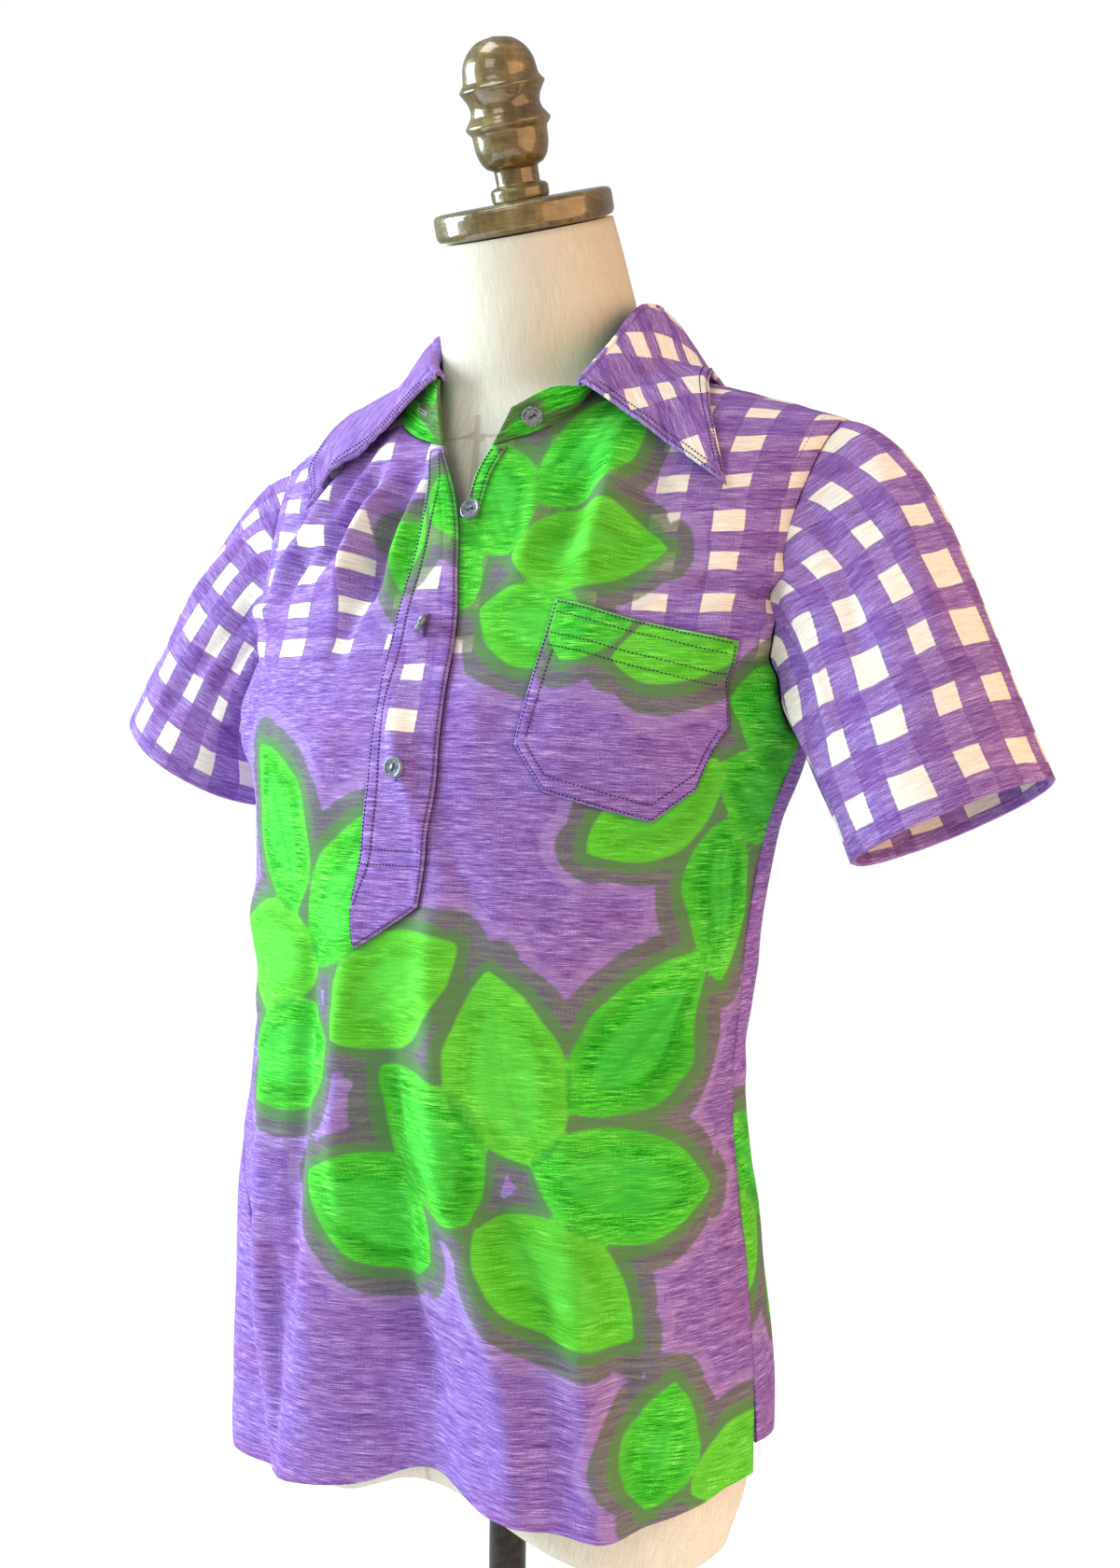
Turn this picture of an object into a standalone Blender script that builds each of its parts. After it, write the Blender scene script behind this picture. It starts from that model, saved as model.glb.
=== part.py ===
"""Short-sleeved polo shirt worn by a limbless dress form on a round base.

Metres, +Z up. The front faces -Y and the wearer's left side is +X. The origin
is the middle of the base's underside.

The shirt's body is one closed tube, body_point(turn, rise): turn goes round
it (0 at the centre front, 1 at the wearer's left side, -1 at the right side,
2 or -2 at the centre back) and rise goes up the cloth from below the hem to
the shoulder line. Front and back are patches of that tube, and what lies on
them is made from the same points, moved out.
"""
import math

import bmesh
import bpy
import numpy as np

# ---------------------------------------------------------------- sizes
CLOTH = 0.0012            # wall of one layer of knit
SEAM = 0.0003             # gap left between pieces that are sewn together
LIFT = 0.0012             # clear space under a piece that lies on a panel
ARMPIT = 0.43             # rise at which the side seam ends
SHOULDER = 0.66           # rise of the shoulder line
VENT_TOP = 0.085          # rise of the top of both side vents
VENT_OPEN = 0.018         # how far a vent's edges stand apart at the hem, in turn
BUTTON_RADIUS = 0.0057
BUTTON_THICK = 0.0024
CAP_RADIUS = 0.0500
CAP_THICK = 0.0157
CAP_CENTRE = (0.0008, 0.002, 0.9328)
CAP_TILT = math.radians(19.5)      # the neck leans forward by this
POLE_RADIUS = 0.0105
BASE_RADIUS = 0.150
BASE_HEIGHT = 0.022

# Sections of the shirt's body. rise: distance up the cloth; height: of the
# section at its middle; left, right: half widths; front, back: depths; mid:
# y of the widest points; drop: how far the section falls to its widest
# points, which gives the shoulder slope.
BODY_COLUMNS = ("rise", "height", "left", "right", "front", "back", "mid", "drop")
BODY = (
    (0.000, 0.225, 0.156, 0.182, 0.105, 0.104, 0.000, 0.000),
    (0.080, 0.305, 0.155, 0.182, 0.106, 0.104, 0.000, 0.000),
    (0.160, 0.385, 0.148, 0.179, 0.109, 0.092, 0.000, 0.000),
    (0.240, 0.465, 0.139, 0.167, 0.111, 0.080, 0.000, 0.000),
    (0.320, 0.545, 0.145, 0.159, 0.109, 0.083, 0.000, 0.000),
    (0.380, 0.605, 0.156, 0.163, 0.106, 0.090, 0.000, 0.000),
    (0.430, 0.654, 0.173, 0.174, 0.101, 0.096, 0.002, 0.000),
    (0.480, 0.703, 0.178, 0.178, 0.088, 0.100, 0.004, 0.004),
    (0.520, 0.741, 0.180, 0.180, 0.076, 0.099, 0.007, 0.010),
    (0.560, 0.778, 0.182, 0.182, 0.064, 0.094, 0.012, 0.017),
    (0.600, 0.814, 0.185, 0.185, 0.051, 0.091, 0.018, 0.026),
    (0.630, 0.840, 0.187, 0.187, 0.037, 0.083, 0.024, 0.035),
    (0.642, 0.849, 0.188, 0.188, 0.028, 0.076, 0.026, 0.039),
    (0.650, 0.855, 0.188, 0.188, 0.019, 0.064, 0.028, 0.041),
    (0.660, 0.860, 0.188, 0.188, 0.000, 0.000, 0.030, 0.044),
)
SQUARE = 2.2              # exponent of the sections: 2 is an ellipse

# Folds of the body. Each runs from (turn, rise) at its top to (turn, rise) at
# its foot, with its half width in turn and its height at both ends; a ridge
# is positive and a trough negative.
FOLDS = (
    ("hem_trough", -0.04, 0.270, 0.0325, 0.000, 0.116, -0.004, -0.0266),
    ("hem_ridge_centre", 0.07, 0.300, 0.30, 0.000, 0.106, 0.002, 0.0027),
    ("hem_ridge_left", 0.40, 0.280, 0.497, 0.000, 0.084, 0.001, 0.0136),
    ("hem_ridge_right", -0.10, 0.320, -0.267, 0.000, 0.10, 0.003, 0.0057),
    ("vent_trough_right", -0.66, 0.280, -0.47, 0.000, 0.13, -0.002, -0.019),
    ("back_ridge_left", 1.60, 0.240, 1.66, 0.000, 0.16, 0.002, 0.012),
    ("back_trough", 1.95, 0.260, 1.98, 0.000, 0.15, -0.002, -0.012),
    ("back_ridge_right", -1.62, 0.240, -1.60, 0.000, 0.17, 0.002, 0.012),
    ("waist_pull_left", 0.95, 0.330, 0.72, 0.180, 0.12, 0.000, 0.003),
    ("placket_crease", 0.13, 0.440, 0.17, 0.290, 0.05, 0.003, -0.002),
    ("chest_drag_left", 0.29, 0.600, 0.32, 0.480, 0.07, 0.004, 0.003),
    ("armhole_pull_left", 0.92, 0.520, 0.64, 0.470, 0.10, -0.004, 0.002),
    ("armhole_pull_right", -0.92, 0.520, -0.64, 0.470, 0.10, -0.004, 0.002),
    ("neck_gather_a", -0.17, 0.590, -0.22, 0.500, 0.035, 0.004, 0.001),
    ("neck_gather_b", -0.29, 0.600, -0.40, 0.490, 0.045, 0.004, 0.001),
)
FOLD_END = 0.05           # length over which a fold fades at each end

# Where the front's wearer's-right seam runs: the shirt is twisted a little
# below the waist, so this seam comes round to the front.
SEAM_TWIST = ((0.0, 0.54), (0.06, 0.53), (0.12, 0.47), (0.19, 0.28), (0.28, 0.0), (0.43, 0.0))

# Hem of the front and of the back: (turn, rise) from the wearer's right.
FRONT_HEM = ((-0.46, 0.0138), (-0.34, 0.0186), (-0.22, 0.0237), (-0.10, 0.0294), (0.02, 0.0420), (0.12, 0.0396),
             (0.22, 0.0336), (0.34, 0.0321), (0.46, 0.0314), (0.60, 0.0350), (0.76, 0.0409), (0.88, 0.0470), (1.0, 0.0472))
BACK_HEM = ((1.0, 0.062), (1.5, 0.052), (2.0, 0.038), (2.5, 0.024), (3.0, 0.012), (3.54, 0.006))

# Armholes: (rise, inset of the front edge, inset of the back edge), the
# insets measured across from the section's widest point.
ARMHOLE = (
    (0.43, 0.000, 0.000),
    (0.46, 0.005, 0.004),
    (0.50, 0.009, 0.007),
    (0.55, 0.009, 0.008),
    (0.60, 0.007, 0.007),
    (0.64, 0.005, 0.005),
    (0.66, 0.004, 0.004),
)

# Neckline as (x, rise) on the front, from the wearer's right neck point to
# the left one, with the V of the opening in its middle.
NECK_X = 0.064
FRONT_NECK_RIGHT = ((-0.064, 0.660), (-0.0615, 0.640), (-0.054, 0.618), (-0.036, 0.602),
                    (-0.012, 0.592))
FRONT_EDGE_RIGHT = ((-0.012, 0.592), (-0.002, 0.571), (0.0075, 0.547))
FRONT_EDGE_LEFT = ((0.0095, 0.547), (0.0118, 0.570), (0.018, 0.592))
FRONT_NECK_LEFT = ((0.018, 0.592), (0.038, 0.600), (0.056, 0.616), (0.062, 0.640),
                   (0.064, 0.660))


# ---------------------------------------------------------------- helpers
def column(rows, names, name):
    """One named column of a table, as an array."""
    return np.array([row[names.index(name)] for row in rows], float)


def smooth(x, xs, ys):
    """Monotone cubic through a table's points, held flat past its ends."""
    xs = np.asarray(xs, float)
    ys = np.asarray(ys, float)
    step = np.diff(xs)
    slope = np.diff(ys) / step
    tangent = np.empty_like(ys)
    tangent[0], tangent[-1] = slope[0], slope[-1]
    before, after = slope[:-1], slope[1:]
    same = before * after > 0
    safe = np.where(same, before + after, 1.0)
    tangent[1:-1] = np.where(same, 2 * before * after / safe, 0.0)
    x = np.clip(x, xs[0], xs[-1])
    i = np.clip(np.searchsorted(xs, x, side="right") - 1, 0, len(xs) - 2)
    t = (x - xs[i]) / step[i]
    h00 = (1 + 2 * t) * (1 - t) ** 2
    h10 = t * (1 - t) ** 2
    h01 = t * t * (3 - 2 * t)
    h11 = t * t * (t - 1)
    return h00 * ys[i] + h10 * step[i] * tangent[i] + h01 * ys[i + 1] + h11 * step[i] * tangent[i + 1]


def fade(x, low, high):
    """0 below low, 1 above high, an S curve between."""
    t = np.clip((x - low) / (high - low), 0, 1)
    return t * t * (3 - 2 * t)


def unit(v):
    """Vectors scaled to length 1."""
    return v / np.maximum(np.linalg.norm(v, axis=-1, keepdims=True), 1e-12)


def along(points, count):
    """count points at even distances along a smooth line through points."""
    points = np.asarray(points, float)
    chord = np.concatenate([[0], np.cumsum(np.linalg.norm(np.diff(points, axis=0), axis=1))])
    dense = np.linspace(0, chord[-1], 40 * len(points))
    line = np.stack([smooth(dense, chord, points[:, k]) for k in range(points.shape[1])], 1)
    run = np.concatenate([[0], np.cumsum(np.linalg.norm(np.diff(line, axis=0), axis=1))])
    at = np.linspace(0, run[-1], count)
    return np.stack([np.interp(at, run, line[:, k]) for k in range(points.shape[1])], 1)


# ---------------------------------------------------------------- shirt body
def fold_height(turn, rise):
    """Sum of the folds' heights at a point of the body."""
    total = np.zeros(np.broadcast(turn, rise).shape)
    for _, turn_top, rise_top, turn_foot, rise_foot, width, high, low in FOLDS:
        t = np.clip((rise_top - rise) / (rise_top - rise_foot), 0, 1)
        centre = turn_top + (turn_foot - turn_top) * t
        off = (turn - centre + 2) % 4 - 2
        ends = fade(rise, rise_foot - FOLD_END, rise_foot) * (1 - fade(rise, rise_top, rise_top + FOLD_END))
        if rise_foot <= 0:
            ends = 1 - fade(rise, rise_top, rise_top + FOLD_END)
        total = total + (high + (low - high) * t) * ends * np.exp(-((off / width) ** 2))
    return total


def body_plain(turn, rise):
    """The tube with no folds: superellipse sections that fall to the sides."""
    turn = (np.asarray(turn, float) + 2) % 4 - 2
    rise = np.asarray(rise, float)
    rises = column(BODY, BODY_COLUMNS, "rise")
    size = {name: smooth(rise, rises, column(BODY, BODY_COLUMNS, name)) for name in BODY_COLUMNS[1:]}
    s = np.sin(turn * math.pi / 2)
    c = np.cos(turn * math.pi / 2)
    p = np.abs(s) ** (2 / SQUARE)
    d = np.abs(c) ** (2 / SQUARE)
    x = np.where(s >= 0, size["left"], -size["right"]) * p
    y = size["mid"] * p + np.where(c >= 0, -size["front"], size["back"]) * d
    z = size["height"] - size["drop"] * p ** 1.5
    return np.stack([x, y, z], -1)


def body_normal(turn, rise):
    """Outward direction of the plain tube."""
    step = 1e-3
    top = SHOULDER - 2 * step
    low = np.minimum(rise, top)
    across = body_plain(turn + step, low) - body_plain(turn - step, low)
    up = body_plain(turn, low + step) - body_plain(turn, low - step)
    normal = unit(np.cross(across, up))
    other = 2 - np.asarray(turn, float)
    across = body_plain(other + step, low) - body_plain(other - step, low)
    up = body_plain(other, low + step) - body_plain(other, low - step)
    both = unit(normal + unit(np.cross(across, up)))
    return np.where((np.asarray(rise) > top)[..., None], both, normal)


def body_point(turn, rise, out=0.0):
    """A point of the shirt's outer face, or one moved out from it."""
    height = fold_height(turn, rise) + out
    return body_plain(turn, rise) + body_normal(turn, rise) * height[..., None]


def turn_at(x, rise, back=False):
    """The turn at which the body's section has a given x."""
    rises = column(BODY, BODY_COLUMNS, "rise")
    left = smooth(rise, rises, column(BODY, BODY_COLUMNS, "left"))
    right = smooth(rise, rises, column(BODY, BODY_COLUMNS, "right"))
    share = np.clip(np.abs(x) / np.where(x >= 0, left, right), 0, 1)
    turn = np.arcsin(share ** (SQUARE / 2)) / (math.pi / 2)
    turn = np.where(back, 2 - turn, turn)
    return np.where(np.asarray(x) >= 0, turn, -turn)


def patch(bottom, top, first, last):
    """Coons patch in (turn, rise) from its four edges."""
    u = np.linspace(0, 1, len(bottom))[:, None, None]
    v = np.linspace(0, 1, len(first))[None, :, None]
    ruled_v = (1 - v) * bottom[:, None] + v * top[:, None]
    ruled_u = (1 - u) * first[None] + u * last[None]
    corners = ((1 - u) * (1 - v) * bottom[0] + u * (1 - v) * bottom[-1]
               + (1 - u) * v * top[0] + u * v * top[-1])
    return ruled_v + ruled_u - corners


def pull_in(points, amount, ends=True, sides=True):
    """Moves a grid's outer rows towards the rows beside them."""
    points = points.copy()
    if sides:
        points[0] += unit(points[1] - points[0]) * amount
        points[-1] += unit(points[-2] - points[-1]) * amount
    if ends:
        points[:, 0] += unit(points[:, 1] - points[:, 0]) * amount
        points[:, -1] += unit(points[:, -2] - points[:, -1]) * amount
    return points


# ---------------------------------------------------------------- meshes
def material(name, colour, rough, metal=0.0):
    """A Principled material."""
    mat = bpy.data.materials.new(name)
    mat.use_nodes = True
    shader = mat.node_tree.nodes["Principled BSDF"]
    shader.inputs["Base Color"].default_value = (*colour, 1)
    shader.inputs["Roughness"].default_value = rough
    shader.inputs["Metallic"].default_value = metal
    return mat


def add_object(name, points, faces, mat):
    """A closed mesh object with its faces pointing out."""
    mesh = bpy.data.meshes.new(name)
    mesh.from_pydata([tuple(p) for p in points], [], faces)
    work = bmesh.new()
    work.from_mesh(mesh)
    bmesh.ops.recalc_face_normals(work, faces=work.faces)
    work.to_mesh(mesh)
    work.free()
    mesh.shade_smooth()
    mesh.set_sharp_from_angle(angle=math.radians(40))
    mesh.materials.append(mat)
    thing = bpy.data.objects.new(name, mesh)
    bpy.context.scene.collection.objects.link(thing)
    return thing


def grid_faces(nu, nv, start=0, closed=False, flip=False, other=None):
    """Triangles of a grid of nu by nv points, closed round u if asked.

    other marks the cells that are cut along their other diagonal."""
    faces = []
    for i in range(nu if closed else nu - 1):
        k = (i + 1) % nu
        for j in range(nv - 1):
            a, b, c, d = (start + n for n in (i * nv + j, k * nv + j, k * nv + j + 1, i * nv + j + 1))
            if other is not None and other[i, j]:
                pair = ((a, b, d), (b, c, d))
            else:
                pair = ((a, b, c), (a, c, d))
            faces += [face[::-1] if flip else face for face in pair]
    return faces


def wall(name, outer, inner, mat, closed=False):
    """A sheet of cloth between two matching grids, closed round its edges."""
    nu, nv = outer.shape[:2]
    points = np.concatenate([outer.reshape(-1, 3), inner.reshape(-1, 3)])
    after = np.roll(outer, -1, 0)
    one = np.linalg.norm(after[:, 1:] - outer[:, :-1], axis=2)
    two = np.linalg.norm(after[:, :-1] - outer[:, 1:], axis=2)
    other = two < one
    shift = nu * nv
    faces = grid_faces(nu, nv, 0, closed, False, other) + grid_faces(nu, nv, shift, closed, True, other)
    for i in range(nu if closed else nu - 1):
        k = (i + 1) % nu
        for j in (0, nv - 1):
            faces.append((i * nv + j, k * nv + j, shift + k * nv + j, shift + i * nv + j))
    if not closed:
        for j in range(nv - 1):
            for i in (0, nu - 1):
                faces.append((i * nv + j, i * nv + j + 1, shift + i * nv + j + 1, shift + i * nv + j))
    return add_object(name, points, faces, mat)


def grid_normals(points, closed=False):
    """Unit normals of a grid, pointing to the side that across x up gives."""
    if closed:
        across = np.roll(points, -1, 0) - np.roll(points, 1, 0)
    else:
        across = np.gradient(points, axis=0)
    return unit(np.cross(across, np.gradient(points, axis=1)))


def turned(name, profile, mat, segments=24, axis_point=(0, 0, 0), tilt=0.0):
    """A solid of revolution from (radius, height) rows, leaning to the front."""
    angle = np.linspace(0, 2 * math.pi, segments, endpoint=False)
    profile = np.asarray(profile, float)
    ring = np.stack([np.cos(angle), np.sin(angle)], 1)
    points = np.concatenate([
        profile[None, 1:-1, 0, None] * ring[:, None, :],
        np.broadcast_to(profile[None, 1:-1, 1, None], (segments, len(profile) - 2, 1))], 2)
    points = points.reshape(-1, 3)
    ends = np.array([[0, 0, profile[0, 1]], [0, 0, profile[-1, 1]]])
    points = np.concatenate([points, ends])
    c, s = math.cos(tilt), math.sin(tilt)
    lean = np.array([[1, 0, 0], [0, c, -s], [0, s, c]])
    points = points @ lean.T + np.asarray(axis_point)
    rows = len(profile) - 2
    faces = grid_faces(segments, rows, 0, True)
    low, high = segments * rows, segments * rows + 1
    for i in range(segments):
        k = (i + 1) % segments
        faces.append((low, k * rows, i * rows))
        faces.append((high, i * rows + rows - 1, k * rows + rows - 1))
    return add_object(name, points, faces, mat)


# ---------------------------------------------------------------- panels
SIDE_ROWS = 17            # points up the side seam, hem to armpit
VENT_ROWS = 4             # of them, those up the vent
ARM_ROWS = 12             # points up the armhole, armpit to shoulder
SEAM_COLUMNS = 4          # spaces along one shoulder seam
NECK_COLUMNS = 5          # spaces along one side of the front neckline
EDGE_COLUMNS = 3          # spaces down one edge of the opening


def side_line(sign, back, hem_rise):
    """Side seam and armhole of one panel, as (turn, rise) from the hem up."""
    vent = np.linspace(hem_rise, VENT_TOP, VENT_ROWS)
    low = np.concatenate([vent[:-1], np.linspace(VENT_TOP, ARMPIT, SIDE_ROWS - VENT_ROWS + 1)])
    high = np.linspace(ARMPIT, SHOULDER, ARM_ROWS)[1:]
    turn_low = np.full(SIDE_ROWS, float(sign))
    if sign < 0:
        twist = np.array(SEAM_TWIST)
        turn_low = turn_low + smooth(low, twist[:, 0], twist[:, 1])
    table = np.array(ARMHOLE)
    inset = smooth(high, table[:, 0], table[:, 2 if back else 1])
    rises = column(BODY, BODY_COLUMNS, "rise")
    width = smooth(high, rises, column(BODY, BODY_COLUMNS, "left" if sign > 0 else "right"))
    turn_high = turn_at(sign * (width - inset), high, back)
    line = np.stack([np.concatenate([turn_low, turn_high]), np.concatenate([low, high])], 1)
    if back and sign < 0:
        line[:, 0] += 4
        line[:SIDE_ROWS, 0] = 4 + turn_low
    slit = VENT_OPEN / 2 * (1 - fade(line[:, 1], hem_rise, VENT_TOP))
    line[:, 0] += slit * (sign if back else -sign)
    return line


def shoulder_line(x_from, x_to, count):
    """Turns along the shoulder seam between two x places, front side."""
    x = np.linspace(x_from, x_to, count)
    return np.stack([turn_at(x, np.full(count, SHOULDER)), np.full(count, SHOULDER)], 1)


def neck_part(rows, count):
    """(turn, rise) points along one stretch of the front neckline."""
    line = along(rows, count)
    return np.stack([turn_at(line[:, 0], line[:, 1]), line[:, 1]], 1)


def front_grid():
    """(turn, rise) grid of the front panel, from the wearer's right."""
    first = side_line(-1, False, FRONT_HEM[0][1])
    last = side_line(1, False, FRONT_HEM[-1][1])
    shoulder_x = 0.188 - ARMHOLE[-1][1]
    top = np.concatenate([
        shoulder_line(-shoulder_x, -NECK_X, SEAM_COLUMNS + 1)[:-1],
        neck_part(FRONT_NECK_RIGHT, NECK_COLUMNS + 1)[:-1],
        neck_part(FRONT_EDGE_RIGHT, EDGE_COLUMNS + 1),
        neck_part(FRONT_EDGE_LEFT, EDGE_COLUMNS + 1)[:-1],
        neck_part(FRONT_NECK_LEFT, NECK_COLUMNS + 1)[:-1],
        shoulder_line(NECK_X, shoulder_x, SEAM_COLUMNS + 1)])
    hem = np.array(FRONT_HEM)
    turns = np.linspace(first[0, 0], 1.0, len(top))
    bottom = np.stack([turns, smooth(turns, hem[:, 0], hem[:, 1])], 1)
    return patch(bottom, top, first, last)


BACK_COLUMNS = 20
BACK_NECK_DROP = 0.018    # the back neckline's dip below the neck points


def back_neck_rise(x):
    """Rise of the back neckline at x: half an ellipse."""
    return SHOULDER - BACK_NECK_DROP * np.sqrt(np.clip(1 - (x / NECK_X) ** 2, 0, 1))


def back_grid():
    """(turn, rise) grid of the back panel, from the wearer's left."""
    first = side_line(1, True, BACK_HEM[0][1])
    last = side_line(-1, True, BACK_HEM[-1][1])
    shoulder_x = 0.188 - ARMHOLE[-1][2]
    seam = turn_at(np.linspace(shoulder_x, NECK_X, SEAM_COLUMNS + 1), np.full(SEAM_COLUMNS + 1, SHOULDER), True)
    neck_count = BACK_COLUMNS - 2 * SEAM_COLUMNS
    x = np.linspace(NECK_X, -NECK_X, neck_count + 1)[1:-1]
    rise = back_neck_rise(x)
    neck = turn_at(x, rise, True) % 4
    turn = np.concatenate([seam, neck, 4 - seam[::-1]])
    rise = np.concatenate([np.full(len(seam), SHOULDER), rise, np.full(len(seam), SHOULDER)])
    top = np.stack([turn, rise], 1)
    hem = np.array(BACK_HEM)
    turns = np.linspace(1.0, last[0, 0], BACK_COLUMNS + 1)
    bottom = np.stack([turns, smooth(turns, hem[:, 0], hem[:, 1])], 1)
    return patch(bottom, top, first, last)


def panel(name, grid, mat):
    """A front or back panel: its grid's outer face and one CLOTH inside it."""
    outer = pull_in(body_point(grid[..., 0], grid[..., 1]), SEAM / 2)
    inner = outer - body_normal(grid[..., 0], grid[..., 1]) * CLOTH
    return wall(name, outer, inner, mat)


# ---------------------------------------------------------------- sleeves
# Each hem is an ellipse: its centre, the half width from the inner to the
# outer side as (x, z), and the half depth from front to back.
SLEEVES = {
    "sleeve_left": dict(sign=1, centre=(0.257, -0.002, 0.613), across=(0.047, 0.023), depth=0.054),
    "sleeve_right": dict(sign=-1, centre=(-0.231, 0.000, 0.636), across=(-0.049, 0.029), depth=0.054),
}
SLEEVE_ROWS = 11          # points along the sleeve
CAP_REACH = 0.048         # how far the sleeve head runs on before it falls


def armhole_loop(sign):
    """Points and normals round one armhole: armpit, front, shoulder, back."""
    front = side_line(sign, False, 0.05)[SIDE_ROWS - 1:]
    back = side_line(sign, True, 0.05)[SIDE_ROWS - 1:]
    turn = np.concatenate([front[:, 0], back[::-1, 0][1:-1]])
    rise = np.concatenate([front[:, 1], back[::-1, 1][1:-1]])
    return body_point(turn, rise), body_normal(turn, rise)


def sleeve(name, mat, sign, centre, across, depth):
    """A tube from the armhole to the hem's ellipse, along a Bezier curve."""
    ring, ring_normal = armhole_loop(sign)
    count = len(ring)
    run = np.concatenate([[0], np.cumsum(np.linalg.norm(np.diff(np.concatenate([ring, ring[:1]]), axis=0), axis=1))])
    angle = run[:-1] / run[-1] * 2 * math.pi
    across = np.array([across[0], 0, across[1]])
    hem = (np.array(centre) - np.cos(angle)[:, None] * across
           + np.sin(angle)[:, None] * np.array([0, -depth, 0]))
    axis = unit(np.array(centre) - ring.mean(0))
    top = 0.5 - 0.5 * np.cos(angle)[:, None]
    outward = unit(np.array([sign * 1.0, 0, -0.10]))
    ring = ring + ring_normal * (CLOTH + 2 * SEAM) * (1 - top) ** 2
    start = ring + outward * CAP_REACH * top ** 1.5 + axis * 0.012 * (1 - top)
    span = np.linalg.norm(hem - ring, axis=1)[:, None]
    hem_way = unit(np.cross(across, [0, -depth, 0])) * sign
    hem_way = hem_way * np.sign(hem_way @ axis)
    stop = hem - hem_way * span * 0.35
    t = np.linspace(0, 1, SLEEVE_ROWS)[None, :, None]
    ring, start, stop, hem = (a[:, None] for a in (ring, start, stop, hem))
    outer = (1 - t) ** 3 * ring + 3 * t * (1 - t) ** 2 * start + 3 * t * t * (1 - t) * stop + t ** 3 * hem
    normal = grid_normals(outer, True)
    normal *= np.sign(np.sum(normal * (outer - outer.mean(0, keepdims=True)), -1).mean())
    normal[:, 0] = unit(normal[:, 0] + ring_normal * top)
    outer[:, 0] += unit(outer[:, 1] - outer[:, 0]) * SEAM
    inner = outer - normal * CLOTH
    return wall(name, outer, inner, mat, closed=True)


# ---------------------------------------------------------------- collar
# Stations round the neck from the wearer's right front end over the back to
# the left front end: x, y and z of the band's top, where the leaf turns over,
# and of the leaf's free edge. The last two rows are the band's tongue, past
# the leaf.
COLLAR = (
    (-0.0200, -0.0480, 0.8433, -0.1150, -0.0390, 0.7775),
    (-0.0340, -0.0360, 0.8530, -0.1190, -0.0200, 0.7970),
    (-0.0460, -0.0160, 0.8640, -0.1120, 0.0020, 0.8215),
    (-0.0620, 0.0140, 0.8795, -0.1020, 0.0340, 0.8440),
    (-0.0500, 0.0600, 0.8900, -0.0780, 0.0860, 0.8420),
    (0.0000, 0.0850, 0.8920, 0.0000, 0.1120, 0.8360),
    (0.0520, 0.0600, 0.8890, 0.0780, 0.0860, 0.8420),
    (0.0660, 0.0220, 0.8840, 0.1010, 0.0360, 0.8450),
    (0.0690, -0.0160, 0.8570, 0.1140, 0.0060, 0.8280),
    (0.0672, -0.0430, 0.8335, 0.1447, -0.0270, 0.7765),
    (0.0587, -0.0500, 0.8333, 0, 0, 0),
    (0.0339, -0.0580, 0.8232, 0, 0, 0),
)
LEAF_STATIONS = 10
COLLAR_STEPS = 28
LEAF_ROWS = 10
LEAF_ROLL = 0.008         # how far the fold stands off the band
BAND_CLEAR = 0.0020       # how far the band's foot stands over the neckline
FOLD_CLEAR = 0.0030       # how far the leaf's fold stands out from the band
LEAF_CLEAR = 0.0060       # the leaf's outer face over the body


def keep_clear(points, gap):
    """Moves points out to at least gap from the body's face."""
    turn, rise = np.meshgrid(np.linspace(-2, 2, 161), np.linspace(0.50, SHOULDER, 49), indexing="ij")
    skin = body_point(turn, rise).reshape(-1, 3)
    way = body_normal(turn, rise).reshape(-1, 3)
    flat = points.reshape(-1, 3)
    near = np.linalg.norm(flat[:, None] - skin[None], axis=2).argmin(1)
    height = np.sum((flat - skin[near]) * way[near], 1)
    return (flat + way[near] * np.maximum(gap - height, 0)[:, None]).reshape(points.shape)


def collar_leaf(mat):
    """The fall: over the fold, then down to its edge with a little roll."""
    rows = np.array(COLLAR[:LEAF_STATIONS])
    place = np.linspace(0, LEAF_STATIONS - 1, COLLAR_STEPS + 1)
    fold, edge = (np.stack([smooth(place, np.arange(LEAF_STATIONS), rows[:, 3 * k + j]) for j in range(3)], 1)
                  for k in range(2))
    t = np.linspace(0, 1, LEAF_ROWS)[None, :, None]
    out = unit(np.stack([fold[:, 0], fold[:, 1] - 0.02, np.zeros(len(fold))], 1))
    bend = fold + out * LEAF_ROLL + np.array([0, 0, 0.002])
    fold = fold[:, None] + out[:, None] * FOLD_CLEAR
    bend, edge = bend[:, None], edge[:, None]
    outer = (1 - t) ** 2 * fold + 2 * t * (1 - t) * bend + t * t * edge
    outer[:, 1:] = keep_clear(outer[:, 1:], LEAF_CLEAR)
    normal = grid_normals(outer)
    normal *= np.sign(normal[..., 2].mean())
    return wall("collar_leaf", outer, outer - normal * CLOTH * 1.25, mat)


def neckline():
    """The body's neckline at the panels' own points, from the right front."""
    front_right = neck_part(FRONT_NECK_RIGHT[::-1], NECK_COLUMNS + 1)
    front_left = neck_part(FRONT_NECK_LEFT[::-1], NECK_COLUMNS + 1)
    x = np.linspace(-NECK_X, NECK_X, BACK_COLUMNS - 2 * SEAM_COLUMNS + 1)[1:-1]
    rise = back_neck_rise(x)
    back = np.stack([turn_at(x, rise, True), rise], 1)
    line = np.concatenate([front_right, back, front_left])
    return body_point(line[:, 0], line[:, 1])


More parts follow.
